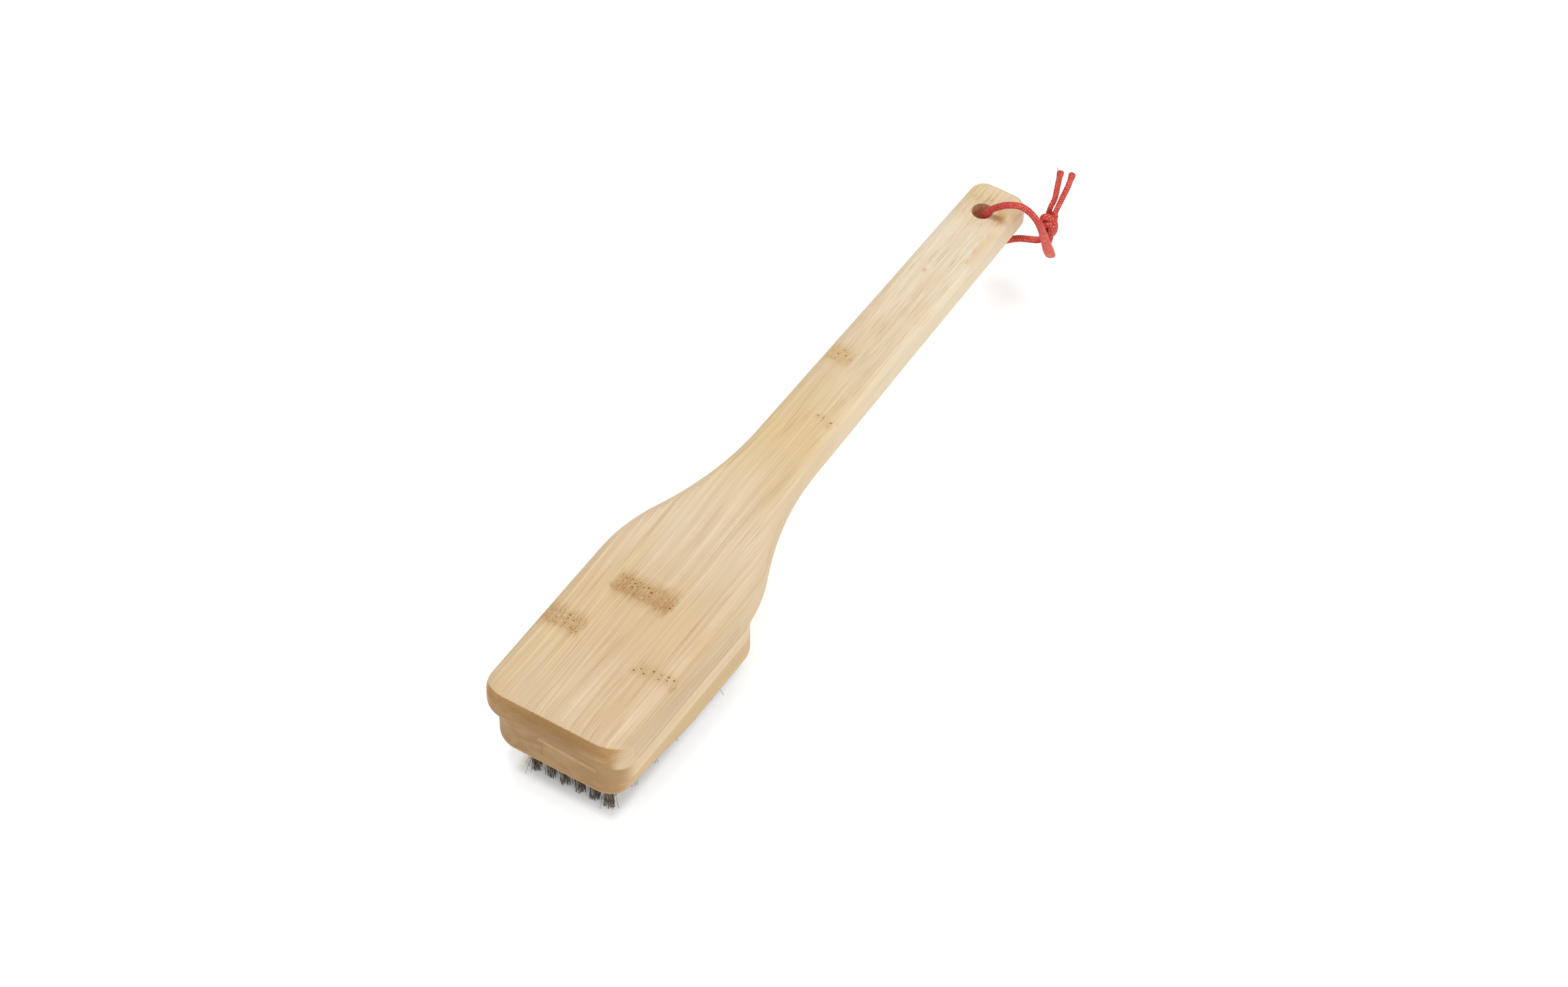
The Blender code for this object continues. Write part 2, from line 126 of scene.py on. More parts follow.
class Finish:
    """The nodes of one material, or of the world, written as Python expressions."""

    def __init__(self, owner):
        owner.use_nodes = True
        self.owner = owner
        self.tree = owner.node_tree
        self.shader = self.tree.nodes.get("Principled BSDF")

    def node(self, kind, settings=None, inputs=None, out=0):
        """Adds a node: its settings first, then its sockets' values or links."""
        made = self.tree.nodes.new("ShaderNode" + kind)
        for key, value in (settings or {}).items():
            if key == "stops":
                ramp = made.color_ramp
                while len(ramp.elements) < len(value):
                    ramp.elements.new(1.0)
                for stop, (place, colour) in zip(ramp.elements, value):
                    stop.position = place
                    stop.color = (*colour, 1.0)
            else:
                setattr(made, key, value)
        self.feed(made, inputs or {})
        return Value(self, made.outputs[out])

    def feed(self, made, inputs):
        """Gives a node's sockets their values or links."""
        for key, value in inputs.items():
            if isinstance(value, Value):
                self.tree.links.new(value.socket, made.inputs[key])
            else:
                made.inputs[key].default_value = value

    def maths(self, operation, a, b=0.0, clamp=False):
        return self.node("Math", {"operation": operation, "use_clamp": clamp}, {0: a, 1: b})

    def split(self, vector):
        """The three parts of a vector."""
        outputs = self.node("SeparateXYZ", inputs={0: vector}).socket.node.outputs
        return [Value(self, outputs[i]) for i in range(3)]

    def place(self):
        """The piece's own X, Y and Z, in millimetres."""
        return self.split(self.node("VectorMath", {"operation": "SCALE"}, {
            0: self.node("TexCoord", out="Object"), "Scale": 1 / MM}))

    def facing(self):
        """The X, Y and Z of the surface's direction."""
        return self.split(self.node("TexCoord", out="Normal"))

    def seen(self):
        """1 for what the camera sees, also mirrored or through glass, else 0."""
        camera, glossy, through = (self.node("LightPath", out=f"Is {ray} Ray")
                                   for ray in ("Camera", "Glossy", "Transmission"))
        return self.maths("ADD", camera, glossy + through, clamp=True)

    def noise(self, x, y, z, detail=2.0, roughness=0.5):
        """Noise from 0 to 1 with a cell of one unit."""
        at = self.node("CombineXYZ", inputs={0: x, 1: y, 2: z})
        return self.node("TexNoise", {"noise_dimensions": "3D"}, {
            "Vector": at, "Scale": 1.0, "Detail": detail, "Roughness": roughness})

    def step(self, value, low, high):
        """0 below low, 1 above high, smooth between; low may be the larger one."""
        return self.node("MapRange", {"interpolation_type": "SMOOTHSTEP"},
                         {"Value": value, "From Min": low, "From Max": high})

    def window(self, value, rise, full, fade, gone):
        """1 from full to fade, 0 before rise and after gone, smooth between."""
        return self.step(value, rise, full) * self.step(value, gone, fade)

    def seam(self, value, place, half_width, core=0.05):
        """A thin line at a place: 1 in its core, 0 past its half width."""
        return self.step(abs(value - place), half_width, core)

    def blend(self, share, a, b):
        """Colour a turning into colour b."""
        a, b = (c if isinstance(c, Value) else (*c, 1.0) for c in (a, b))
        return self.node("Mix", {"data_type": "RGBA"}, {0: share, 6: a, 7: b}, out=2)

    def layers(self, base, *coats):
        """Colours laid over a base one after another, each by its own share."""
        for share, colour in coats:
            base = self.blend(share, base, colour)
        return base

    def bump(self, height, strength, distance):
        return self.node("Bump", inputs={"Height": height, "Strength": strength,
                                         "Distance": distance})

    def shade(self, inputs):
        """Feeds the shader's sockets and gives the material back."""
        self.feed(self.shader, inputs)
        return self.owner


# Bamboo tones, as linear colours
BOARD_TONES = [(0.00, (0.614, 0.463, 0.290)), (0.20, (0.620, 0.460, 0.272)),
               (0.33, (0.664, 0.545, 0.385)), (0.52, (0.642, 0.478, 0.256)),
               (0.67, (0.650, 0.535, 0.365)), (0.80, (0.712, 0.606, 0.442)),
               (0.90, (0.725, 0.628, 0.480)), (0.97, (0.660, 0.515, 0.318)),
               (1.00, (0.720, 0.610, 0.410))]
BLOCK_TONE = (0.700, 0.520, 0.320)
TAN = (0.520, 0.330, 0.150)
LINE_BROWN = (0.400, 0.220, 0.090)
CREAM = (0.900, 0.780, 0.580)
ROSE_CREAM = (0.755, 0.595, 0.415)
STRAW = (0.675, 0.520, 0.265)
END_TAN = (0.560, 0.345, 0.145)
END_SHADE = (0.450, 0.255, 0.095)
END_DEEP = (0.320, 0.165, 0.055)
END_BROWN = (0.240, 0.110, 0.035)
RIM_SHADE_BROWN = (0.395, 0.228, 0.100)
RIM_HIGHLIGHT_CREAM = (0.720, 0.540, 0.330)
CUT_TAN = (0.490, 0.312, 0.152)
CUT_SHADE = (0.418, 0.243, 0.106)
CUT_LIGHT = (0.640, 0.450, 0.250)
BAND_BROWN = (0.390, 0.205, 0.068)
HALO_BROWN = (0.530, 0.312, 0.108)
PORE_BROWN = (0.150, 0.068, 0.028)
HOLE_BROWN = (0.850, 0.470, 0.270)
HOLE_SHADE = (0.620, 0.340, 0.190)
PLY_TAN = (0.570, 0.385, 0.170)
PLY_ORANGE = (0.600, 0.370, 0.160)

# Places on the board and the block, in mm
BOARD_TOP = 43.7
HALF_LENGTH = 150.0
HOLE_Y = 134.1
HOLE_WALL = (4.30, 4.10)      # from the hole's middle, where its wall begins
GLUE_LINE_Z = (30.50, 30.20)
RIND_Z = (36.0, 42.5)
DOTS_END_Z = (36.9, 35.3)
HEAD_CORNERS_Y = (-114.0, -120.0)
HEAD_RIM_X = (24.6, 26.85)
NECK_Y = -30.0
SIDE_JOINT_Z = 21.6
SIDE_JOINT_DROP = 7.3         # how far that joint comes down at the front corner
FOOT_JOINT_Z = 14.3
LEFT_JOINT_X = -4.8
RIGHT_JOINT_X = 17.4
RIGHT_STRIP_X = (17.2, 17.6)
BLOCK_TOP_Z = (28.3, 28.7)
FOOT_RIM_Z = (12.7, 13.1, 13.3, 13.9)
LEFT_STRIP_Z = 22.3
ARCS_MIDDLE_Z = 19.5

# Patterns of the grain: cells per mm across and along, seed, detail, roughness
GRAIN_PATTERNS = {
    "broad": (0.15, 0.006, 0.0, 2.0, 0.50),
    "streak": (0.85, 0.009, 7.0, 3.0, 0.60),
    "fine": (2.4, 0.016, 11.0, 3.0, 0.62),
    "thin": (4.6, 0.030, 19.0, 2.0, 0.50),
    "light": (3.2, 0.028, 31.0, 2.0, 0.50),
    "where": (0.32, 0.018, 43.0, 1.0, 0.50),
    "hue": (0.11, 0.014, 57.0, 2.0, 0.50),
}
# What they tint, in this order: pattern, its lowest and highest value, share, tone
GRAIN_TINTS = [
    ("broad", 0.36, 0.66, 0.19, TAN),
    ("streak", 0.46, 0.70, 0.26, TAN), ("streak", 0.50, 0.30, 0.26, CREAM),
    ("fine", 0.50, 0.70, 0.28, TAN), ("fine", 0.48, 0.30, 0.24, CREAM),
]
GRAIN_WAVE = 6.0              # mm that the fibres wander to the sides
HANDLE_SHORTENING = 0.006     # per mm past the neck: the fibres show shorter there
FIBRE_RELIEF = 0.00008        # m

# Wire and cord tones, as linear colours
WIRE_DARK, WIRE_BRIGHT = (0.070, 0.054, 0.040), (0.430, 0.360, 0.290)
WIRE_BLOOM = (0.170, 0.100, 0.058)
YARN_DEEP, YARN_RED = (0.480, 0.034, 0.028), (0.600, 0.060, 0.046)
YARN_WORN, YARN_GAP_SHADE = (0.720, 0.130, 0.095), (0.330, 0.018, 0.018)
YARN_GLINT, YARN_GLINT_PEAK = (0.850, 0.130, 0.085), (0.960, 0.290, 0.200)
YARN_SHADE, YARN_MELTED = (0.380, 0.020, 0.018), (0.190, 0.022, 0.030)
FOLD_RED, FOLD_PALE = (0.660, 0.125, 0.095), (0.740, 0.175, 0.135)
BRAID_BUMP = 0.00012          # m

# Growth rings of the stalk that cross a strip, and one painted shadow of the cord,
# in mm: middle x and y, half width, half height, then shares for tint and for flecks
RINGS_AND_CORD_SHADOW = [
    (-20.8, -109.2, 9.0, 4.0, 0.76, 0.95),
    (-3.0, -85.0, 12.2, 4.0, 1.02, 0.85),
    (21.6, -113.2, 8.8, 2.4, 0.34, 0.30),
    (-6.0, 45.2, 6.2, 3.6, 0.60, 0.50),
    # the first of these two is the cord's shadow beside the hole, painted as a brown patch
    (7.8, 134.8, 2.8, 2.8, 1.22, 0.00), (13.0, 140.3, 2.8, 3.0, 1.30, 0.20),
    (10.5, 118.0, 2.6, 9.0, 0.60, 0.10),
]

# Single pores, in mm: x, y and radius
PORES = [
    (-13.8, -81.8, .22), (-11.9, -82.6, .28), (-12.1, -84.3, .28), (-9.5, -83.9, .26),
    (-8.0, -83.2, .36), (-6.7, -83.9, .30), (-8.0, -85.1, .40), (-9.6, -82.0, .28),
    (-6.7, -81.9, .24), (-4.6, -83.1, .32), (-2.9, -82.4, .38), (-1.0, -83.7, .46),
    (-0.9, -85.6, .30), (1.4, -82.4, .30), (3.5, -84.0, .24), (1.3, -84.4, .20),
    (5.5, -84.8, .26), (5.3, -82.6, .22), (8.1, -86.1, .40), (8.4, -84.5, .30),
    (-25.7, -108.2, .26), (-19.0, -106.9, .38), (-18.8, -108.4, .30), (-16.5, -108.3, .34),
    (-18.6, -110.7, .28), (-22.5, -110.1, .26), (-14.8, -106.5, .26), (-15.7, -111.6, .28),
    (-14.9, -111.8, .26), (-13.2, -112.0, .24), (-23.6, -113.2, .24), (-21.8, -112.3, .24),
    (12.8, -115.3, .38), (14.6, -113.5, .32), (16.5, -114.8, .38), (18.9, -112.2, .40),
    (21.9, -112.1, .28), (22.1, -114.2, .28), (24.6, -111.5, .38), (24.8, -113.1, .32),
    (27.2, -111.4, .40), (29.2, -114.3, .26), (30.0, -113.5, .22), (16.5, -113.0, .18),
    (17.6, -115.0, .16), (3.2, 16.4, .30), (5.4, 16.5, .28), (5.5, 15.9, .20),
    (9.0, 15.7, .38), (12.3, 17.2, .26), (8.8, 13.8, .18), (10.5, 13.8, .18),
    (-10.0, 46.7, .26), (-5.5, 47.9, .28), (-6.6, 45.4, .32), (-3.8, 45.9, .36),
    (-1.3, 44.9, .28), (-8.6, 47.6, .20), (-7.6, 42.5, .22), (-6.6, 42.8, .18),
    (-6.6, 139.0, .19), (-4.5, 139.6, .22), (-4.6, 138.4, .15), (-2.2, 138.3, .16),
    (0.1, 140.4, .20), (-2.3, 97.2, .26),
]


def across_fibres(f, x, y, z, nx):
    """Distance across the fibres, carried on round the edge and down each side."""
    head = f.step(y, *HEAD_CORNERS_Y)
    by_place = f.step(x, *HEAD_RIM_X) - f.step(-x, *HEAD_RIM_X)
    by_slope = f.step(nx, 0.10, 0.55) - f.step(-nx, 0.10, 0.55)
    return x + (BOARD_TOP - z) * (by_place * head + by_slope * (1.0 - head))


def grain(f, u, y, contrast, tone):
    """Long fibres along Y over a tone: broad bands, streaks, thin dark and light lines."""
    v = u + (f.noise(u * 0.05, y * 0.010, 3.0, detail=1.0) - 0.5) * GRAIN_WAVE
    y = y + f.maths("MAXIMUM", y - NECK_Y, 0.0) ** 2.0 * HANDLE_SHORTENING
    pattern = {name: f.noise(v * across, y * along, seed, detail, roughness)
               for name, (across, along, seed, detail, roughness) in GRAIN_PATTERNS.items()}
    rose = f.step(pattern["hue"], 0.50, 0.68) * (1.0 - 0.6 * f.step(y, -40.0, 40.0))
    straw = f.step(pattern["hue"], 0.48, 0.32)
    dark = f.step(pattern["thin"], 0.53, 0.64) * (
        0.22 + 0.78 * f.step(pattern["where"], 0.42, 0.58))
    pale = f.step(pattern["light"], 0.60, 0.74) * (
        0.30 + 0.70 * f.step(pattern["where"], 0.60, 0.42))
    base = f.layers(
        tone, (rose * (0.50 * contrast), ROSE_CREAM), (straw * (0.45 * contrast), STRAW),
        *((f.step(pattern[name], low, high) * (share * contrast), colour)
          for name, low, high, share, colour in GRAIN_TINTS),
        (dark * (0.58 * contrast), LINE_BROWN), (pale * (0.40 * contrast), CREAM))
    return base, pattern["fine"], pattern["thin"]


def end_grain(f, x, y, z):
    """Cut ends of the fibres: small brown dots on tan, close together."""
    rise = z - abs(y) * 0.80
    round_corner = x + (y + HALF_LENGTH) * 0.6 * (f.step(x, -8.0, 8.0) * 2.0 - 1.0)
    at = f.node("CombineXYZ", inputs={0: round_corner * 2.10, 1: rise * 1.80, 2: 0.0})
    cell = f.node("TexVoronoi", {"feature": "F1", "voronoi_dimensions": "2D"},
                  {"Vector": at, "Scale": 1.0, "Randomness": 0.75})
    patch = f.noise(x * 0.13, y * 0.13, z * 0.35)
    # the rind's side of the strip is darker and its dots are closer
    rind = f.step(z, *RIND_Z)
    base = f.layers(END_TAN, (f.step(patch, 0.36, 0.64), END_SHADE), (rind * 0.55, END_SHADE),
                    (f.step(abs(x - 1.0), 24.0, 4.0) * 0.58, END_DEEP))
    return base, f.step(cell, 0.44, 0.08), rind


def pore_depth(f, x, y):
    """1 in the middle of each single pore, and how near the nearest one is, in mm."""
    wobble = (f.noise(x * 2.2, y * 1.6, 5.0, detail=1.0) - 0.5) * 0.35
    at = f.node("CombineXYZ", inputs={0: x + wobble, 1: (y + wobble) * 0.8, 2: 0.0})
    nearest = 2 * HALF_LENGTH
    for px, py, radius in PORES:
        away = f.node("VectorMath", {"operation": "DISTANCE"},
                      {0: at, 1: (px, py * 0.8, 0.0)}, out=1)
        nearest = f.maths("MINIMUM", nearest, away - radius)
    return f.step(nearest, 0.03, -0.17), nearest


def rings_and_cord_shadow(f, u, y, ragged, cloud):
    """Where growth rings cross the strips, and the painted shadow of the cord: the share of
    their tint and of flecks.
    """
    tint = flecked = 0.0
    for cx, cy, half_x, half_y, tint_share, fleck_share in RINGS_AND_CORD_SHADOW:
        across = f.step(abs(u - cx) + cloud * 3.0 - 1.5, half_x + 1.0, half_x - 1.4)
        far = abs(y - cy) + ragged * 6.0 - 3.0 + cloud * 3.0 - 1.5
        lower_side = f.step(y, cy + 1.5, cy - 2.5)
        one = across * (f.step(far, half_y + 4.2, half_y - 1.6) * 0.55
                        + f.step(far, half_y + 1.2, half_y - 1.4)
                        * (0.25 + 0.20 * lower_side))
        core = across * f.step(far, half_y + 0.8, half_y - 1.0)
        tint = tint + one * tint_share
        flecked = flecked + core * fleck_share
    return tint, flecked


def bamboo_board():
    """Flat-sawn strips: long fine fibres, growth rings with pores, dotted end grain."""
    f = Finish(bpy.data.materials.new("bamboo_board_finish"))
    x, y, z = f.place()
    nx, ny, nz = f.facing()
    u = across_fibres(f, x, y, z, nx)

    along = (y + HALF_LENGTH) / (2 * HALF_LENGTH)
    tone = f.node("ValToRGB", {"stops": BOARD_TONES}, {"Fac": along})
    base, fine, thin = grain(f, u, y, 0.88, tone)

    # growth rings and the cord's painted shadow: a ragged brown band, light and dark dashes
    # along the fibre, pores
    ragged = f.noise(u * 1.5, y * 0.12, 0.0)
    cloud = f.noise(u * 0.35, y * 0.30, 8.0)
    tint, flecked = rings_and_cord_shadow(f, u, y, ragged, cloud)
    pore, nearest = pore_depth(f, u, y)
    halo = f.step(nearest, 1.5, 0.1) * f.step(ragged, 0.30, 0.60)
    band = f.blend(f.step(y, -60.0, 0.0), BAND_BROWN, HALO_BROWN)
    dashes = f.noise(u * 2.8, y * 0.60, 4.0)
    tiny_pores = f.step(f.noise(u * 3.1, y * 1.5, 21.0, detail=1.0), 0.64, 0.72)
    base = f.layers(
        base,
        (tint * (0.60 + 0.40 * f.step(fine, 0.40, 0.62)), band),
        (halo * 0.42, HALO_BROWN),
        (flecked * f.step(dashes, 0.57, 0.72) * 0.44, CREAM),
        (flecked * f.step(dashes, 0.45, 0.32) * 0.66, BAND_BROWN),
        (flecked * tiny_pores * 0.70, PORE_BROWN),
        (pore * 0.95, PORE_BROWN))

    # end grain where the surface turns away from the fibres, smooth under the rim, where the
    # brown band on the lower round-over is painted shade
    ends, dots, rind = end_grain(f, x, y, z)
    below = f.step(z + cloud * 2.4 - 1.2, *DOTS_END_Z)
    dots = dots * (1.0 - below)
    ends = f.layers(ends, (dots * (0.44 + 0.22 * rind), END_BROWN), (below * 0.75, RIM_SHADE_BROWN))
    steep = abs(ny) / (ny ** 2.0 + nz ** 2.0) ** 0.5 + (fine - 0.5) * 0.10
    toward_end = f.step(steep, 0.60, 0.67) * f.step(abs(nx) - dots * 0.25, 0.84, 0.50)

    # painted light on the handle's right side, the glue line and the drilled wall of the hole
    lit_right_side = f.step(nx, 0.25, 0.80) * f.step(y, -40.0, 30.0)
    glue = f.step(z, *GLUE_LINE_Z) * f.step(abs(nx), 0.2, 0.5)
    from_hole = (x ** 2.0 + (y - HOLE_Y) ** 2.0) ** 0.5
    wall = f.step(from_hole, *HOLE_WALL) * f.step(abs(nz), 0.60, 0.35)
    drilled = f.noise(x * 1.6, y * 1.6, z * 1.1, detail=3.0)
    # the rounded rims between the top and the ends are lighter: a painted highlight
    base = f.layers(
        base,
        (f.step(steep, 0.15, 0.60) * 0.50, RIM_HIGHLIGHT_CREAM),
        (toward_end, ends),
        (lit_right_side * 0.40, CREAM),
        (glue * 0.60, LINE_BROWN),
        (wall, f.blend(f.step(drilled, 0.35, 0.65), HOLE_BROWN, HOLE_SHADE)))

    relief = thin * 0.4 + fine * 0.4 - pore * 1.5 - toward_end * dots * 0.6
    return f.shade({"Base Color": base, "Roughness": 0.54 + fine * 0.14,
                    "Specular IOR Level": 0.30, "Normal": f.bump(relief, 0.22, FIBRE_RELIEF)})


def bamboo_block():
    """The glued layers under the board, with their joints and arcs on the cut ends."""
    f = Finish(bpy.data.materials.new("bamboo_block_finish"))
    x, y, z = f.place()
    nx, ny, nz = f.facing()
    u = across_fibres(f, x, y, z, nx)
    base, fine, thin = grain(f, u, y, 0.62, BLOCK_TONE)

    # along the sides the lower strip is a shade darker, under a thin joint
    joint_z = SIDE_JOINT_Z - f.step(y, -134.0, -147.0) * SIDE_JOINT_DROP
    under = f.step(z - joint_z, 0.12, -0.12)
    base = f.layers(
        base,
        ((1.0 - under) * 0.20, CREAM),
        (under * 0.42, PLY_TAN),
        (f.seam(z, joint_z, 0.24, 0.04) * 0.45, LINE_BROWN),
        (f.step(z, *BLOCK_TOP_Z) * 0.50, LINE_BROWN),
        (f.window(z, *FOOT_RIM_Z) * 0.35, LINE_BROWN))

    # cut ends: fine specks, a lighter strip, arcs below it, joints and the foot
    patch = f.noise(x * 0.16, y * 0.1, z * 0.25, detail=1.0)
    speck = f.noise(x * 1.9, y * 0.3, z * 2.3)
    strip = (f.step(z + x * 0.08, 23.8, 24.1) * f.step(z + x * 0.06, 25.9, 25.5)
             * f.window(x, -7.2, -6.0, *RIGHT_STRIP_X))
    arcs = f.maths("SINE", x * 9.4 + (z - ARCS_MIDDLE_Z) ** 2.0 * 0.50
                   + f.noise(x * 0.5, y, z * 0.5) * 4.0)
    in_arcs = (f.window(x, -4.9, -4.5, *RIGHT_STRIP_X)
               * f.step(z, 14.6, 15.6) * f.step(z + x * 0.08, 23.4, 22.4))
    joints = (
        f.seam(z, LEFT_STRIP_Z, 0.20) * f.window(x, -12.0, -9.5, -5.0, -4.6)
        + f.seam(x, LEFT_JOINT_X, 0.18) * f.window(z, 18.8, 19.6, 22.2, 22.5)
        + f.seam(x, RIGHT_JOINT_X, 0.18) * f.window(z, 15.0, 16.5, 25.0, 25.4) * 0.5
        + f.seam(z, FOOT_JOINT_Z, 0.20) * 0.8)
    ends = f.layers(
        CUT_TAN,
        (f.step(patch, 0.35, 0.65), CUT_SHADE),
        (f.step(speck, 0.50, 0.66) * 0.28, END_SHADE),
        (strip * 0.55, CUT_LIGHT),
        (f.step(x, *RIGHT_STRIP_X) * 0.12, CUT_LIGHT),
        (f.step(x, 8.0, 24.0) * 0.55, CUT_SHADE),
        (f.step(arcs, 0.0, 0.8) * in_arcs * 0.34, END_SHADE),
        (f.step(arcs, -0.2, -0.9) * in_arcs * 0.30, CUT_LIGHT),
        (joints * 0.50, END_BROWN),
        (f.step(z, 14.4, 14.1) * 0.60, PLY_ORANGE))
    base = f.layers(
        base,
        (f.step(y, -137.0, -146.0) * 0.30, CUT_TAN),
        (f.step(abs(ny), 0.22, 0.78), ends),
        # the faces that look down are a little darker: painted shade
        (f.step(-nz, 0.55, 0.95) * 0.15, LINE_BROWN))

    relief = thin * 0.4 + fine * 0.4
    return f.shade({"Base Color": base, "Roughness": 0.56 + fine * 0.14,
                    "Specular IOR Level": 0.28, "Normal": f.bump(relief, 0.22, FIBRE_RELIEF)})


def steel_wire():
    """Dark drawn steel with a brown bloom and a few brighter lengths."""
    f = Finish(bpy.data.materials.new("steel_wire_finish"))
    x, y, z = f.place()
    tone = f.noise(x * 2.6, y * 2.6, z * 0.25)
    bloom = f.noise(x * 0.8, y * 0.8, z * 0.9)
    base = f.layers(WIRE_DARK, (f.step(tone, 0.36, 0.66), WIRE_BRIGHT),
                    (f.step(bloom, 0.50, 0.70) * 0.5, WIRE_BLOOM))
    return f.shade({"Base Color": base, "Metallic": 0.25, "Roughness": 0.38 + tone * 0.2})


BRAID_COLUMNS = 4             # yarns each way round the cord
BRAID_PITCH = 0.95            # mm between the yarns of one column
SHADE_X, SHADE_Z = (15.0, 7.0), (34.0, 38.0)  # mm, the cord's part over the board


def red_braid():
    """Red braided cord: painted highlights on its lozenges of yarn, painted shade between them,
    plain at the fold.
    """
    f = Finish(bpy.data.materials.new("red_cord_finish"))
    around, along, _ = f.split(f.node("UVMap", {"uv_map": "along"}))
    along = along * (1 / MM)
    fold = f.node("Attribute", {"attribute_name": "fold"}, out=2)
    end = f.node("Attribute", {"attribute_name": "cut_end"}, out=2)
    x, y, z = f.place()

    a = around * BRAID_COLUMNS + along / BRAID_PITCH
    b = around * BRAID_COLUMNS - along / BRAID_PITCH
    yarn = abs(f.maths("COSINE", a * math.pi) * f.maths("COSINE", b * math.pi))
    ridge = abs(f.maths("COSINE", around * (2 * BRAID_COLUMNS * math.pi)))
    fibre = f.noise(a * 1.2, b * 9.0, 0.0, detail=1.0)
    wool = f.noise(x * 5.0, y * 5.0, z * 5.0)
    worn = f.noise(x * 0.9, y * 0.9, z * 0.9)
    plain = 1.0 - fold * 0.85
    in_shade = f.step(x, *SHADE_X) * f.step(z, *SHADE_Z)
    # dark between the yarns: painted shade
    gap = f.step(yarn, 0.30, 0.04) * (0.45 + 0.55 * f.step(worn, 0.62, 0.42))
    # bright spots on the crowns of the yarns: painted highlights
    painted_glint = f.step(yarn * ridge ** 1.4, 0.10, 0.72) * (0.45 + 0.55 * f.step(worn, 0.38, 0.56))
    base = f.layers(
        YARN_DEEP,
        (f.step(wool, 0.30, 0.70), YARN_RED),
        (f.step(worn, 0.45, 0.65) * plain * 0.5, YARN_WORN),
        (gap * plain * (0.62 - in_shade * 0.40), YARN_GAP_SHADE),
        (painted_glint * plain * (1.0 - in_shade * 0.65) * 0.85,
         f.blend(fibre, YARN_GLINT, YARN_GLINT_PEAK)),
        (in_shade * 0.35, YARN_SHADE),
        (fold * 0.90, f.blend(f.step(worn, 0.35, 0.65), FOLD_RED, FOLD_PALE)),
        (end * 0.75, YARN_MELTED))
    relief = (yarn + fibre * 0.20 + wool * 0.12) * plain
    return f.shade({"Base Color": base, "Roughness": 0.50 + fibre * 0.15,
                    "Specular IOR Level": 0.28, "Normal": f.bump(relief, 0.45, BRAID_BUMP)})


# ---- modelling helpers

NEAR = 1e-6
CLOSE = 2e-5                  # on rounded rims


def go_to(mode):
    bpy.ops.object.mode_set(mode=mode)


def alone(piece):
    """Deselects everything but this piece."""
    if bpy.context.object and bpy.context.object.mode != "OBJECT":
        go_to("OBJECT")
    bpy.ops.object.select_all(action="DESELECT")
    piece.select_set(True)
    bpy.context.view_layer.objects.active = piece


def even_shading(piece, degrees=35):
    """Rounded edges shade softly and flat faces stay flat."""
    alone(piece)
    bpy.ops.object.shade_smooth_by_angle(angle=math.radians(degrees))
    even = piece.modifiers.new("even_faces", "WEIGHTED_NORMAL")
    even.keep_sharp = True
    even.weight = 100
    bpy.ops.object.modifier_apply(modifier=even.name)


def place_in_mesh(piece):
    """Leaves the object at the origin, unturned and unscaled."""
    piece.data.transform(piece.matrix_world)
    piece.matrix_world = Matrix.Identity(4)


def ease(value, low, high):
    """0 at low, 1 at high, eased between; low may be the larger one."""
    t = min(1.0, max(0.0, (value - low) / (high - low)))
    return t * t * (3 - 2 * t)


def hump(value, rise, full, fade, gone):
    """1 from full to fade, 0 before rise and after gone."""
    return ease(value, rise, full) * ease(value, gone, fade)


def pick_all():
    bpy.ops.mesh.select_all(action="SELECT")


def pick_edges(mesh, wanted):
    """Selects, in edit mode, the edges that a test on their two ends wants."""
    bpy.ops.mesh.select_mode(type="EDGE")
    bpy.ops.mesh.select_all(action="DESELECT")
    bm = bmesh.from_edit_mesh(mesh)
    for edge in bm.edges:
        if wanted(edge.verts[0].co, edge.verts[1].co):
            edge.select_set(True)
    bmesh.update_edit_mesh(mesh)


def bevel_picked(offset, segments):
    bpy.ops.mesh.bevel(offset=offset, offset_type="OFFSET", segments=segments, profile=0.5,
                       affect="EDGES", clamp_overlap=False)


def drill_through(piece, drill):
    """Cuts the drill's shape out of the piece and throws the drill away."""
    place_in_mesh(drill)
    cut = piece.modifiers.new("drilled", "BOOLEAN")
    cut.operation, cut.solver, cut.object = "DIFFERENCE", "EXACT", drill
    alone(piece)
    bpy.ops.object.modifier_apply(modifier=cut.name)
    bpy.data.objects.remove(drill)


def dress(piece, material, slot, body, *nodes):
    """Gives a piece its finish and body, and hides the CAD nodes it replaces. The slot is not
    used.
    """
    piece.data.materials.clear()
    piece.data.materials.append(material)
    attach(piece, body)
    if nodes:
        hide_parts(*nodes)


# ---- the board

HEAD_WIDTH = 0.0582
HEAD_CORNER = 0.0102
SHOULDER_START = 0.0756
NECK_START = 0.1528
SHOULDER_ROUND_SHARE = 0.343
NECK_WIDTH = 0.0260
HANDLE_END_WIDTH = 0.0223
HANDLE_END_CORNER = 0.0054
HANDLE_END_CROWN = 0.0005
EDGE_ROUND = 0.0050
HANGING_HOLE = (0, 0.1341)
HANGING_HOLE_RADIUS = 0.00385
HOLE_CHAMFER = 0.0004
SHOULDER_STEPS = 14
END_CUTS = 3
END_MIDDLE_CUTS = 2
END_MIDDLE_SHARE = 0.6
HEAD_CORNER_FACETS = 16
HANDLE_CORNER_FACETS = 12
RIM_FACETS = 8
HOLE_SIDES = 56
FLUSH_ROUND_SHARE = 0.12      # of the edge round, where the block is flush
FLUSH_END = (-0.0600, -0.0250)  # where the round grows back, along Y


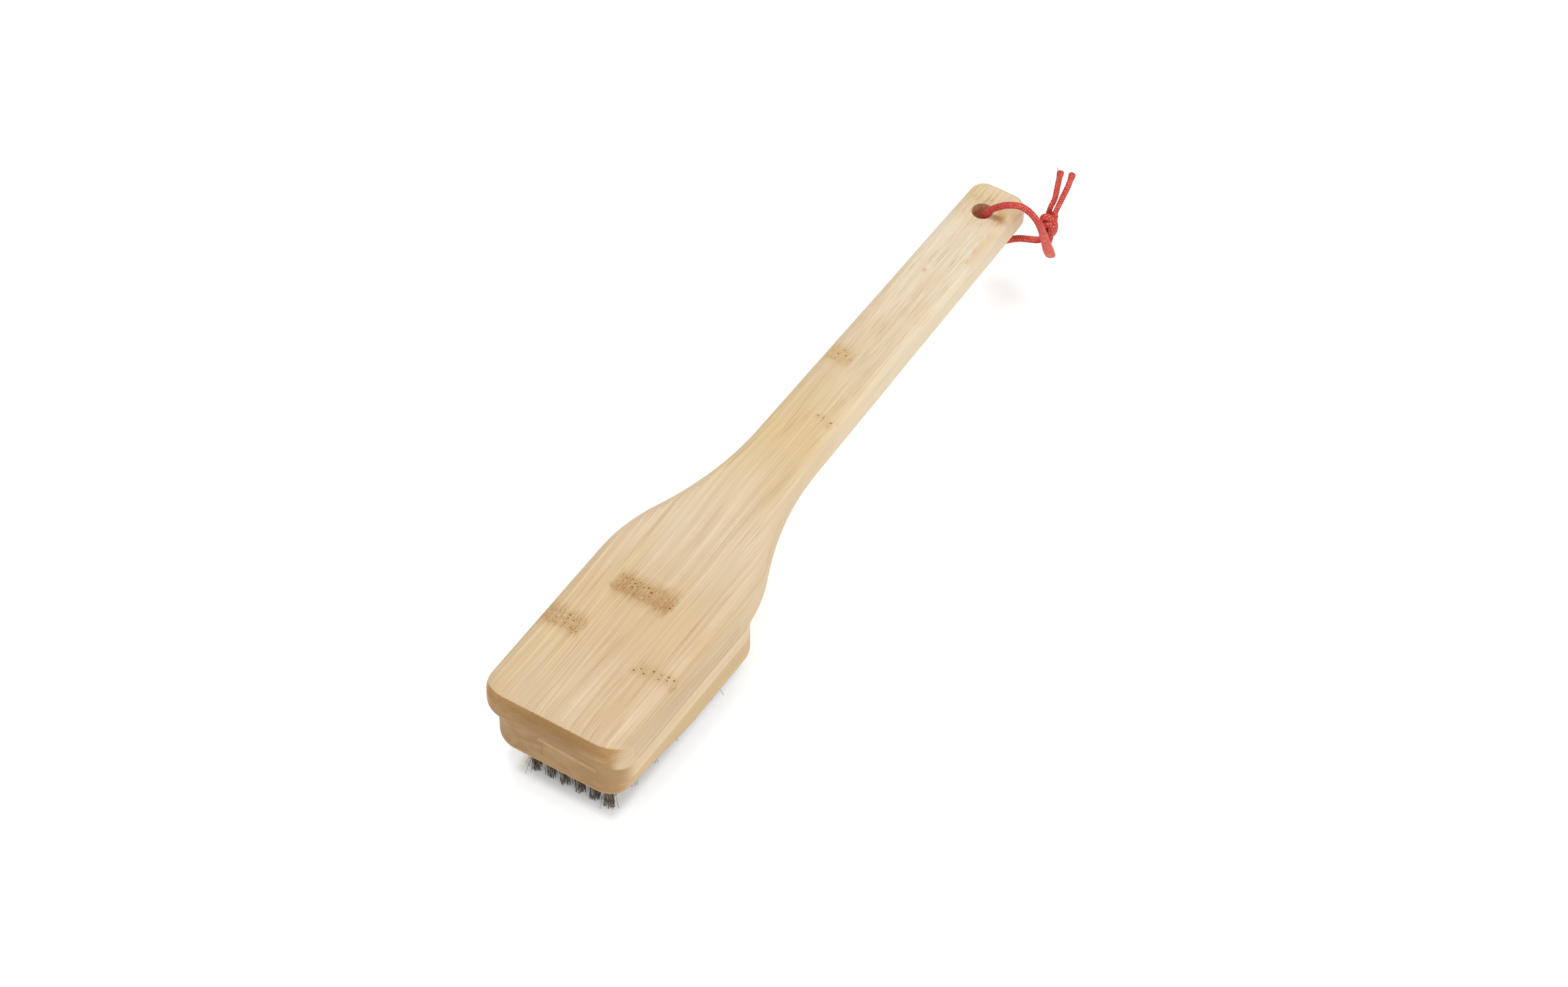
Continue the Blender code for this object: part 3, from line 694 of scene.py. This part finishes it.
def shoulder_stations(front_y):
    """Places along the ogee shoulders: y and half width, head to neck."""
    head, neck = HEAD_WIDTH / 2, NECK_WIDTH / 2
    run = NECK_START - SHOULDER_START
    lean = 2 * math.atan2(head - neck, run)
    both = run / math.sin(lean)
    outer = both * SHOULDER_ROUND_SHARE
    inner = both - outer
    stations = []
    for i in range(SHOULDER_STEPS + 1):
        turn = lean * i / SHOULDER_STEPS
        stations.append((front_y + SHOULDER_START + outer * math.sin(turn),
                         head - outer * (1 - math.cos(turn))))
    for i in range(SHOULDER_STEPS - 1, -1, -1):
        turn = lean * i / SHOULDER_STEPS
        stations.append((front_y + NECK_START - inner * math.sin(turn),
                         neck + inner * (1 - math.cos(turn))))
    return stations


def right_foot_share(x, y, front_y):
    """How much of the edge round the lower right rim takes; the block meets it flush."""
    half = HEAD_WIDTH / 2
    if x < half - HEAD_CORNER and y < front_y + HEAD_CORNER or x < 0:
        return 1.0
    if y < front_y + HEAD_CORNER:
        turn = math.asin(min(1.0, (x - half + HEAD_CORNER) / HEAD_CORNER)) / (math.pi / 2)
        return 1.0 - (1.0 - FLUSH_ROUND_SHARE) * ease(turn, 0.0, 1.0)
    return FLUSH_ROUND_SHARE + (1.0 - FLUSH_ROUND_SHARE) * ease(y, *FLUSH_END)


def round_rims(board, foot_z, top_z, front_y):
    """Rounds both rims at once, each edge by its own share of the round."""
    mesh = board.data
    shares = mesh.attributes.new("bevel_weight_edge", "FLOAT", "EDGE").data
    for edge, share in zip(mesh.edges, shares):
        a, b = (mesh.vertices[i].co for i in edge.vertices)
        if abs(a.z - b.z) > NEAR:
            continue
        middle = (a + b) / 2
        share.value = 1.0 if middle.z > (foot_z + top_z) / 2 else right_foot_share(
            middle.x, middle.y, front_y)
    rounded = board.modifiers.new("rounded_rims", "BEVEL")
    rounded.limit_method = "WEIGHT"
    rounded.offset_type = "OFFSET"
    rounded.width = EDGE_ROUND
    rounded.segments = RIM_FACETS
    rounded.use_clamp_overlap = False
    alone(board)
    bpy.ops.object.modifier_apply(modifier=rounded.name)


def make_board():
    low, high = (Vector(c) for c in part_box("handle_board"))
    front, back = low.y, high.y
    middle = (0, front + SHOULDER_START / 2, low.z)
    bpy.ops.mesh.primitive_plane_add(size=1, location=middle)
    board = bpy.context.object
    board.name = "board"
    place_in_mesh(board)
    go_to("EDIT")
    bpy.ops.transform.resize(value=(HEAD_WIDTH, SHOULDER_START, 1), center_override=middle)

    # the sheet grows from the head's back edge along the shoulders and handle
    end_y, half = front + SHOULDER_START, HEAD_WIDTH / 2

    def at_end(a, b):
        return min(a.y, b.y) > end_y - NEAR

    handle = [(back - HANDLE_END_CROWN, HANDLE_END_WIDTH / 2)]
    for y, width in shoulder_stations(front)[1:] + handle:
        pick_edges(board.data, at_end)
        bpy.ops.mesh.extrude_region_move(TRANSFORM_OT_translate={"value": (0, y - end_y, 0)})
        bpy.ops.transform.resize(value=(width / half, 1, 1), center_override=(0, y, 0))
        end_y, half = y, width
    pick_edges(board.data, at_end)
    bpy.ops.mesh.subdivide(number_cuts=END_CUTS)
    pick_edges(board.data, lambda a, b: at_end(a, b)
               and max(abs(a.x), abs(b.x)) < END_MIDDLE_SHARE * half)
    bpy.ops.mesh.subdivide(number_cuts=END_MIDDLE_CUTS)
    bm = bmesh.from_edit_mesh(board.data)
    for v in bm.verts:
        if v.co.y > end_y - NEAR:
            v.co.y += HANDLE_END_CROWN * (1 - (v.co.x / half) ** 2)
    bmesh.update_edit_mesh(board.data)
    pick_all()
    bpy.ops.mesh.dissolve_faces()
    pick_all()
    bpy.ops.mesh.extrude_region_move(
        TRANSFORM_OT_translate={"value": (0, 0, high.z - low.z)})
    pick_all()
    bpy.ops.mesh.normals_make_consistent(inside=False)

    # the four upright corners, then both rims
    tall = (high.z - low.z) / 2
    pick_edges(board.data, lambda a, b: abs(a.z - b.z) > tall and a.y < front + NEAR)
    bevel_picked(HEAD_CORNER, HEAD_CORNER_FACETS)
    pick_edges(board.data, lambda a, b: abs(a.z - b.z) > tall and a.y > back - MM
               and abs(a.x) > half - CLOSE)
    bevel_picked(HANDLE_END_CORNER, HANDLE_CORNER_FACETS)
    go_to("OBJECT")
    round_rims(board, low.z, high.z, front)

    bpy.ops.mesh.primitive_cylinder_add(
        vertices=HOLE_SIDES, radius=HANGING_HOLE_RADIUS, depth=2 * (high.z - low.z),
        location=(*HANGING_HOLE, (low.z + high.z) / 2))
    drill_through(board, bpy.context.object)
    go_to("EDIT")
    centre = Vector((*HANGING_HOLE, 0))
    pick_edges(board.data, lambda a, b: abs(a.z - b.z) < NEAR and all(
        abs((Vector((v.x, v.y, 0)) - centre).length - HANGING_HOLE_RADIUS) < CLOSE
        for v in (a, b)))
    bevel_picked(HOLE_CHAMFER, 2)
    go_to("OBJECT")
    even_shading(board)
    return board


# ---- the block's two plies

CORNER_ROUND = 0.0118
RIM_ROUND = 0.0007
TUFT_HOLE_RADIUS = 0.0019
TUFT_HOLE_DEPTH = 0.0048
GLUE_GAP = 0.00003
GLUE_ROUND = 0.00012
LEAN_IN = 0.0024              # the most that the lower right edge leans in
LEAN_FROM = 0.0206
LEAN_SPAN = (-0.1000, -0.1360)  # from upright to the full lean, along Y
LEAN_CUTS = (-0.1280, -0.1220, -0.1160, -0.1100, -0.1040)
CORNER_FACETS = 18
PLY_RIM_FACETS = 4
TUFT_HOLE_SIDES = 20

ROWS = 13
TUFTS_PER_ROW = 6
FIRST_ROW_Y = -0.1400
ROW_PITCH = 0.0060
TUFT_PITCH = 0.00598
FIELD_OFFSET = 0.0018
ROW_STAGGER = 0.0015


def tuft_centres(row):
    """The x and y of each tuft in a row; alternate rows are staggered."""
    shift = FIELD_OFFSET + (ROW_STAGGER if row % 2 == 0 else -ROW_STAGGER)
    middle = (TUFTS_PER_ROW - 1) / 2
    return [(shift + (i - middle) * TUFT_PITCH, FIRST_ROW_Y + row * ROW_PITCH)
            for i in range(TUFTS_PER_ROW)]


def make_ply(name, low, high, top_round, foot_round):
    """A slab with upright corners and rims rounded."""
    bpy.ops.mesh.primitive_cube_add(size=1, location=(low + high) / 2, scale=high - low)
    ply = bpy.context.object
    ply.name = name
    place_in_mesh(ply)
    go_to("EDIT")
    pick_edges(ply.data, lambda a, b: abs(a.z - b.z) > (high.z - low.z) / 2)
    bevel_picked(CORNER_ROUND, CORNER_FACETS)
    for level, round_by in ((high.z, top_round), (low.z, foot_round)):
        pick_edges(ply.data, lambda a, b: abs(a.z - level) + abs(b.z - level) < NEAR)
        bevel_picked(round_by, PLY_RIM_FACETS)
    go_to("OBJECT")
    return ply


def draw_in_side(ply, low, high):
    """The lower ply's right side leans in toward the front, where it was sanded."""
    alone(ply)
    go_to("EDIT")
    for cut_y in LEAN_CUTS:
        pick_all()
        bpy.ops.mesh.bisect(plane_co=(0, cut_y, 0), plane_no=(0, 1, 0))
    bm = bmesh.from_edit_mesh(ply.data)
    for v in bm.verts:
        edge = max(0.0, (v.co.x - LEAN_FROM) / (high.x - LEAN_FROM)) ** 2
        depth = (high.z - v.co.z) / (high.z - low.z)
        v.co.x -= LEAN_IN * edge * depth * ease(v.co.y, *LEAN_SPAN)
    bmesh.update_edit_mesh(ply.data)
    go_to("OBJECT")


def make_plies():
    """Both plies, closed on each other by the glue; the lower one holds the tufts."""
    low, high = (Vector(c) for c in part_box("block_upper_layer"))
    upper = make_ply("block_upper_ply", low, high, RIM_ROUND, GLUE_ROUND)
    even_shading(upper)
    foot, seam = (Vector(c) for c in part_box("block_lower_layer"))
    seam.z = low.z - GLUE_GAP
    lower = make_ply("block_lower_ply", foot, seam, GLUE_ROUND, RIM_ROUND)
    draw_in_side(lower, foot, seam)

    bpy.ops.mesh.primitive_cylinder_add(
        vertices=TUFT_HOLE_SIDES, radius=TUFT_HOLE_RADIUS, depth=2 * TUFT_HOLE_DEPTH)
    drill = bpy.context.object
    bits = bmesh.new()
    for row in range(ROWS):
        for cx, cy in tuft_centres(row):
            one = drill.data.copy()
            one.transform(Matrix.Translation((cx, cy, foot.z)))
            bits.from_mesh(one)
            bpy.data.meshes.remove(one)
    bits.to_mesh(drill.data)
    bits.free()
    drill_through(lower, drill)
    even_shading(lower)
    return upper, lower


# ---- the tufts

WIRES_PER_TUFT = 56
STRAYS_PER_TUFT = 1
WIRE_RADIUS = 0.00015
# Long loose wires: row, then tuft and where the tip stands
LOOSE_WIRES = {
    0: [(0, -.0134, -.1446), (0, -.0157, -.1410), (0, -.0121, -.1430),
        (5, .0219, -.1396), (5, .0206, -.1414), (5, .0165, -.1432)],
    2: [(5, .0212, -.1284), (5, .0218, -.1276), (5, .0206, -.1296)],
    4: [(5, .0217, -.1166), (5, .0221, -.1158)],
    6: [(5, .0220, -.1036), (5, .0225, -.1042)],
    8: [(5, .0226, -.0930), (5, .0220, -.0922)],
    10: [(5, .0229, -.0828), (5, .0250, -.0786), (5, .0222, -.0816)],
}
LOOSE_SLIMNESS = 0.6
WIRE_PARTS = 10
ROOT_SPREAD = 0.0015
TIP_SPREAD = 0.0020
TIP_SCATTER = 0.0004
SAG = 0.0005
STRAY_LEAN = 0.0030
STRAY_LEAN_SHARES = (0.75, 1.15)
STRAY_BEND = 1.9              # a stray bends out late, near its tip
ROOT_CLEARANCE = 0.0002       # between a wire's root and the end of its hole
EVEN_TRIM, EVEN_SHARE = 0.0006, 0.7
ROUGH_TRIM = 0.0022
LOOSE_TRIM = 0.0001
CRIMP = 0.00024
CRIMP_SHARES = (0.4, 1.3)
CRIMP_LENGTH = 0.0031


def wire_pattern():
    """One straight wire, one metre tall, cut into short parts that can bend."""
    bpy.ops.mesh.primitive_cylinder_add(vertices=3, radius=WIRE_RADIUS, depth=1,
                                        location=(0, 0, 0.5))
    wire = bpy.context.object
    place_in_mesh(wire)
    go_to("EDIT")
    for part in range(1, WIRE_PARTS):
        pick_all()
        bpy.ops.mesh.bisect(plane_co=(0, 0, part / WIRE_PARTS), plane_no=(0, 0, 1))
    go_to("OBJECT")
    points = [v.co.copy() for v in wire.data.vertices]
    faces = [tuple(p.vertices) for p in wire.data.polygons]
    bpy.data.objects.remove(wire)
    return points, faces


def in_disc(draw, radius):
    reach, turn = radius * math.sqrt(draw.random()), draw.uniform(0, math.tau)
    return Vector((reach * math.cos(turn), reach * math.sin(turn), 0))


def make_row(row, pattern, draw):
    """One row of tufts: crimped wires that fan out, and a few strays."""
    points, faces = pattern
    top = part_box("block_lower_layer")[0][2] + TUFT_HOLE_DEPTH - ROOT_CLEARANCE
    verts, polys = [], []
    for tuft, (cx, cy) in enumerate(tuft_centres(row)):
        loose = [place for at, *place in LOOSE_WIRES.get(row, []) if at == tuft]
        for wire in range(WIRES_PER_TUFT + len(loose)):
            root = in_disc(draw, ROOT_SPREAD)
            stray = wire < STRAYS_PER_TUFT
            tip = root * (TIP_SPREAD / ROOT_SPREAD) + in_disc(draw, TIP_SCATTER)
            if stray:
                tip = root.normalized() * STRAY_LEAN * draw.uniform(*STRAY_LEAN_SHARES)
            tip_z = draw.uniform(0.0, EVEN_TRIM if draw.random() < EVEN_SHARE else ROUGH_TRIM)
            phase, lean = draw.uniform(0, math.tau), draw.uniform(0, math.tau)
            amount = draw.uniform(*CRIMP_SHARES) * CRIMP
            sag = in_disc(draw, SAG)
            slim = 1.0
            if wire >= WIRES_PER_TUFT:
                x, y = loose[wire - WIRES_PER_TUFT]
                tip, tip_z, stray = Vector((x - cx, y - cy, 0)), LOOSE_TRIM, True
                root, slim = tip.normalized() * ROOT_SPREAD, LOOSE_SLIMNESS
            drop = top - tip_z
            first = len(verts)
            for p in points:
                t = 1 - p.z
                wave = amount * math.sin(math.tau * t * drop / CRIMP_LENGTH + phase) * t
                bend = root.lerp(tip, t ** STRAY_BEND if stray else t)
                bend += sag * math.sin(math.pi * t)
                verts.append((cx + bend.x + p.x * slim + wave * math.cos(lean),
                              cy + bend.y + p.y * slim + wave * math.sin(lean),
                              top - t * drop))
            polys += [tuple(first + i for i in face) for face in faces]
    mesh = bpy.data.meshes.new(f"steel_tufts_{row + 1:02d}")
    mesh.from_pydata(verts, [], polys)
    tufts = add_object(mesh.name, mesh)
    alone(tufts)
    bpy.ops.object.shade_smooth_by_angle(angle=math.radians(180))
    return tufts


# ---- the lanyard

CORD_DIAMETER = 0.0026
CORD_SIDES = 16
CORD_STEP = 0.0002
BRAID_RELIEF = 0.00010
FLAT_PULL = 1.5               # how soon the fold turns flat to its side

OVER_ROUTE = [
    (0.0016, 0.1331, 0.0370), (0.0016, 0.1331, 0.0413), (0.0026, 0.1333, 0.0451),
    (0.0054, 0.1343, 0.0481), (0.0092, 0.1356, 0.0504), (0.0135, 0.1373, 0.0509),
    (0.0165, 0.1384, 0.0493), (0.0192, 0.1392, 0.0463), (0.0212, 0.1396, 0.0431),
    (0.0229, 0.1396, 0.0394), (0.0245, 0.1394, 0.0355), (0.0256, 0.1399, 0.0314),
    (0.0256, 0.1413, 0.0278), (0.0237, 0.1430, 0.0266), (0.0221, 0.1440, 0.0281),
    (0.0227, 0.1443, 0.0311), (0.0229, 0.1448, 0.0334),
]
UNDER_ROUTE = [
    (0.0016, 0.1331, 0.0367), (0.0016, 0.1331, 0.0323), (0.0024, 0.1338, 0.0285),
    (0.0046, 0.1370, 0.0266), (0.0073, 0.1408, 0.0265), (0.0110, 0.1427, 0.0278),
    (0.0153, 0.1433, 0.0293), (0.0184, 0.1440, 0.0301), (0.0200, 0.1451, 0.0313),
    (0.0201, 0.1457, 0.0330),
]
LEFT_TAIL_ROUTE = [
    (0.0200, 0.1485, 0.0419), (0.0201, 0.1493, 0.0437), (0.0202, 0.1520, 0.0462),
    (0.0193, 0.1553, 0.0497), (0.0182, 0.1591, 0.0535),
]
RIGHT_TAIL_ROUTE = [
    (0.0228, 0.1476, 0.0423), (0.0229, 0.1484, 0.0440), (0.0231, 0.1520, 0.0473),
    (0.0233, 0.1559, 0.0509), (0.0229, 0.1598, 0.0543),
]


def smooth_line(route, gap):
    """Points about one gap apart on a Catmull-Rom curve through the route."""
    knots = [Vector(p) for p in route]
    knots = [2 * knots[0] - knots[1]] + knots + [2 * knots[-1] - knots[-2]]
    line = []
    for a, b, c, d in zip(knots, knots[1:], knots[2:], knots[3:]):
        steps = max(2, round((c - b).length / gap))
        for i in range(steps):
            t = i / steps
            line.append(0.5 * (2 * b + (c - a) * t + (2 * a - 5 * b + 4 * c - d) * t ** 2
                               + (3 * b - 3 * c + d - a) * t ** 3))
    line.append(knots[-2])
    return line


def square_to(tangent, vector):
    """The direction in which a vector leaves a tangent, at a right angle to it."""
    return (vector - tangent * vector.dot(tangent)).normalized()


def braided_tube(name, route, shape=None, flat_across=None):
    """A closed braided tube along a route.

    shape(s, length) gives, at s metres along, the width and thickness as
    shares of the diameter, then the shares of fold and of cut end.
    """
    line = smooth_line(route, CORD_STEP)
    length = sum((b - a).length for a, b in zip(line, line[1:]))
    verts, fold, cut, along, s = [], [], [], [], 0.0
    side = (line[1] - line[0]).normalized().orthogonal().normalized()
    for i, centre in enumerate(line):
        if i:
            s += (centre - line[i - 1]).length
        ahead = line[min(i + 1, len(line) - 1)] - line[max(i - 1, 0)]
        tangent = ahead.normalized()
        side = square_to(tangent, side)
        width, thick, fold_share, cut_share = shape(s, length) if shape else (1, 1, 0, 0)
        if flat_across is not None and fold_share > 0:
            flat = square_to(tangent, flat_across)
            if flat.dot(side) < 0:
                flat = -flat
            side = square_to(tangent, side.lerp(flat, min(1.0, fold_share * FLAT_PULL)))
        up = tangent.cross(side)
        along.append(s)
        for j in range(CORD_SIDES):
            turn = j / CORD_SIDES
            a = turn * BRAID_COLUMNS + s / MM / BRAID_PITCH
            b = turn * BRAID_COLUMNS - s / MM / BRAID_PITCH
            yarn = abs(math.cos(math.pi * a) * math.cos(math.pi * b))
            lift = BRAID_RELIEF * (yarn - 0.5) * (1 - fold_share)
            angle = math.tau * turn
            verts.append(centre
                         + side * math.cos(angle) * (CORD_DIAMETER / 2 * width + lift)
                         + up * math.sin(angle) * (CORD_DIAMETER / 2 * thick + lift))
            fold.append(fold_share)
            cut.append(cut_share)

    rings = len(line)
    polys = [(i * CORD_SIDES + j, i * CORD_SIDES + (j + 1) % CORD_SIDES,
              (i + 1) * CORD_SIDES + (j + 1) % CORD_SIDES, (i + 1) * CORD_SIDES + j)
             for i in range(rings - 1) for j in range(CORD_SIDES)]
    sides = len(polys)
    polys.append(tuple(reversed(range(CORD_SIDES))))
    polys.append(tuple((rings - 1) * CORD_SIDES + j for j in range(CORD_SIDES)))
    mesh = bpy.data.meshes.new(name)
    mesh.from_pydata(verts, [], polys)
    uv = mesh.uv_layers.new(name="along")
    for index, face in enumerate(mesh.polygons):
        for k, loop in enumerate(face.loop_indices):
            vertex = mesh.loops[loop].vertex_index
            ring, j = divmod(vertex, CORD_SIDES)
            if index < sides and k in (1, 2) and j == 0:
                j = CORD_SIDES
            uv.data[loop].uv = (j / CORD_SIDES, along[ring])
    mesh.attributes.new("fold", "FLOAT", "POINT").data.foreach_set("value", fold)
    mesh.attributes.new("cut_end", "FLOAT", "POINT").data.foreach_set("value", cut)
    piece = add_object(name, mesh)
    alone(piece)
    go_to("EDIT")
    pick_all()
    bpy.ops.mesh.normals_make_consistent(inside=False)
    go_to("OBJECT")
    bpy.ops.object.shade_smooth_by_angle(angle=math.radians(70))
    return piece, line, length


# Metres along the half over the board where it is folded, widest and at its bight
FOLD_SPAN = (0.030, 0.040, 0.054, 0.060)
WIDE_SPAN = (0.038, 0.045, 0.0480, 0.0525)
BIGHT_SPAN = (0.046, 0.051, 0.055, 0.060)
NARROWED_SPAN = (0.001, 0.009)  # along a tail, where the knot still draws it in
SWELL_BEFORE_END = (0.0032, 0.0010)
MELTED_END = 0.0009
THREAD_SHARES = (0.13, 0.06)  # of the cord's diameter, at its root and its tip


def over_shape(s, length):
    """Round to the side of the handle, then pressed flat and wide round the fold."""
    fold, wide, bight = (hump(s, *span) for span in (FOLD_SPAN, WIDE_SPAN, BIGHT_SPAN))
    width = 1 + 0.22 * fold + 0.28 * wide - 0.12 * bight
    return width, 1 - 0.30 * fold - 0.20 * bight, fold, 0


def tail_shape(s, length):
    """Drawn in where it leaves the knot, slightly swollen at its melted end."""
    narrow = 0.76 + 0.08 * ease(s, *NARROWED_SPAN)
    swell = 0.20 * ease(s, *(length - before for before in SWELL_BEFORE_END))
    melted = max(0.0, (s - length + MELTED_END) / MELTED_END)
    round_off = math.sqrt(1 - (0.92 * melted) ** 2)
    size = (narrow + swell) * round_off
    return size, size, 0, ease(melted, 0.0, 1.0)


def thread_shape(s, length):
    """A single loose thread that thins out."""
    root, tip = THREAD_SHARES
    size = root + (tip - root) * s / length
    return size, size, 1, 0.4


# The knot's two strands in mm: right and up as the camera sees them, and
# toward it, from the knot's middle
KNOT_MIDDLE = Vector((0.02145, 0.1466, 0.0376))
OUTER_STRAND = [
    (-1.73, -3.05, -3.45), (-0.80, -3.50, -3.40), (0.57, -3.45, -2.20), (1.60, -2.32, -0.60),
    (1.89, -0.73, 1.20), (1.36, 1.09, 3.40), (-0.11, 2.11, 4.40), (-1.70, 2.57, 4.00),
    (-2.39, 2.20, 2.20), (-2.00, 1.20, 0.20), (-0.90, 0.60, -1.40), (-0.15, 1.60, -1.00),
    (-0.09, 3.20, 0.50), (-0.09, 4.48, 1.68),
]
INNER_STRAND = [
    (0.14, -4.34, -1.66), (0.57, -3.00, 0.60), (0.68, -1.41, 2.90), (-0.23, -0.09, 3.60),
    (-1.48, -0.20, 2.60), (-2.39, -0.70, 0.80), (-2.30, -1.30, -1.20), (-1.00, -1.20, -2.80),
    (0.60, -0.30, -2.60), (1.60, 1.20, -0.80), (1.77, 2.40, 1.60), (1.77, 3.18, 3.47),
]
# A thread that has come loose at the left tail's end: right and up, in mm
LOOSE_THREAD = [(-0.95, -1.30), (-1.12, -0.30), (-1.20, 0.50), (-1.02, 1.15)]


def camera_axes():
    """Right, up and toward the camera, as directions in the frame."""
    turn = bpy.context.scene.camera.matrix_world.to_3x3()
    return [turn.col[i].normalized() for i in range(3)]


def knot_route(strand):
    right, up, back = camera_axes()
    return [KNOT_MIDDLE + (right * a + up * b + back * c) * MM for a, b, c in strand]


def make_lanyard():
    seen_right, seen_up, _ = camera_axes()
    over, over_line, over_length = braided_tube("cord_over_strand", OVER_ROUTE, over_shape,
                                                seen_right)
    under, under_line, under_length = braided_tube("cord_under_strand", UNDER_ROUTE)
    left, _, _ = braided_tube("cord_left_tail", LEFT_TAIL_ROUTE, tail_shape)
    right, _, _ = braided_tube("cord_right_tail", RIGHT_TAIL_ROUTE, tail_shape)
    end_point = Vector(LEFT_TAIL_ROUTE[-1])
    thread, _, _ = braided_tube("loose_thread", [
        end_point + (seen_right * a + seen_up * b) * MM for a, b in LOOSE_THREAD], thread_shape)
    alone(left)
    thread.select_set(True)
    bpy.ops.object.join()
    outer, _, _ = braided_tube("cord_knot", knot_route(OUTER_STRAND))
    inner, _, _ = braided_tube("inner", knot_route(INNER_STRAND))
    alone(outer)
    inner.select_set(True)
    bpy.ops.object.join()
    for piece, node in ((over, "over_strand"), (under, "under_strand"), (left, "tail_left"),
                        (right, "tail_right"), (outer, "knot")):
        dress(piece, cord_finish, "cord", CORD_BODY, "lanyard_" + node)


# ---- the scene

SKY_STRENGTH = 0.60
FLOOR_SIZE = 8
GLOW_ALONG = (165.0, 115.0)   # mm along the brush: the table glows below the second
TUFT_FIELD = (2.7, -104.0)    # middle of the tufts, in mm
TUFT_REACH = (17.7, 38.0)     # half of their width and length
FIELD_FADE = 5.0


def light_world():
    """Even light from all round, and a pale backdrop for what the camera sees."""
    bpy.context.scene.world = bpy.data.worlds.new("studio")
    f = Finish(bpy.context.scene.world)
    f.tree.nodes.remove(f.tree.nodes["Background"])
    sky = f.node("Background", inputs={"Color": (1, 1, 1, 1), "Strength": SKY_STRENGTH})
    backdrop = f.node("Background", inputs={"Color": (0.8, 0.8, 0.8, 1), "Strength": 1.0})
    either = f.node("MixShader", inputs={0: f.seen(), 1: sky, 2: backdrop})
    f.feed(f.tree.nodes["World Output"], {"Surface": either})


def lay_floor():
    """A lit table that also glows for the camera as painted light: along the brush, less past
    the handle, and less again between and round the tufts, as a painted shadow.
    """
    bpy.ops.mesh.primitive_plane_add(size=FLOOR_SIZE, location=(0, 0, 0))
    floor = bpy.context.object
    floor.name = "floor"
    f = Finish(bpy.data.materials.new("floor_paper"))
    x, y, _ = f.place()
    beside, before = (f.maths("MAXIMUM", abs(value - middle) - reach, 0.0)
                      for value, middle, reach in zip((x, y), TUFT_FIELD, TUFT_REACH))
    # the glow drops under and round the tufts: a painted shadow
    painted_tuft_shadow = f.step((beside ** 2.0 + before ** 2.0) ** 0.5, FIELD_FADE, 0.0)
    glow = f.step(y, *GLOW_ALONG) * 0.45 + 0.03 - painted_tuft_shadow * 0.29
    shine = f.blend(f.seen() * glow, (0, 0, 0), (0.94, 0.98, 1.00))
    floor.data.materials.append(f.shade({
        "Base Color": (0.90, 0.90, 0.90, 1), "Roughness": 0.9, "Specular IOR Level": 0.0,
        "Emission Color": shine, "Emission Strength": 1.0}))


make_camera()
softbox("key", (-0.42, 0.34, 2.15), size=0.9, watts=22)
softbox("side", (1.90, -0.40, 1.20), size=1.4, watts=15)
light_world()
bpy.context.scene.view_settings.view_transform = "Standard"
lay_floor()

board_finish = bamboo_board()
block_finish = bamboo_block()
wire_finish = steel_wire()
cord_finish = red_braid()

dress(make_board(), board_finish, "board", BODY, "handle_board")
for ply, node in zip(make_plies(), ("block_upper_layer", "block_lower_layer")):
    dress(ply, block_finish, "block", BODY, node)

wire = wire_pattern()
draw = random.Random(11)
for row in range(ROWS):
    dress(make_row(row, wire, draw), wire_finish, "wire", BODY, f"tuft_row_{row + 1:02d}")

make_lanyard()
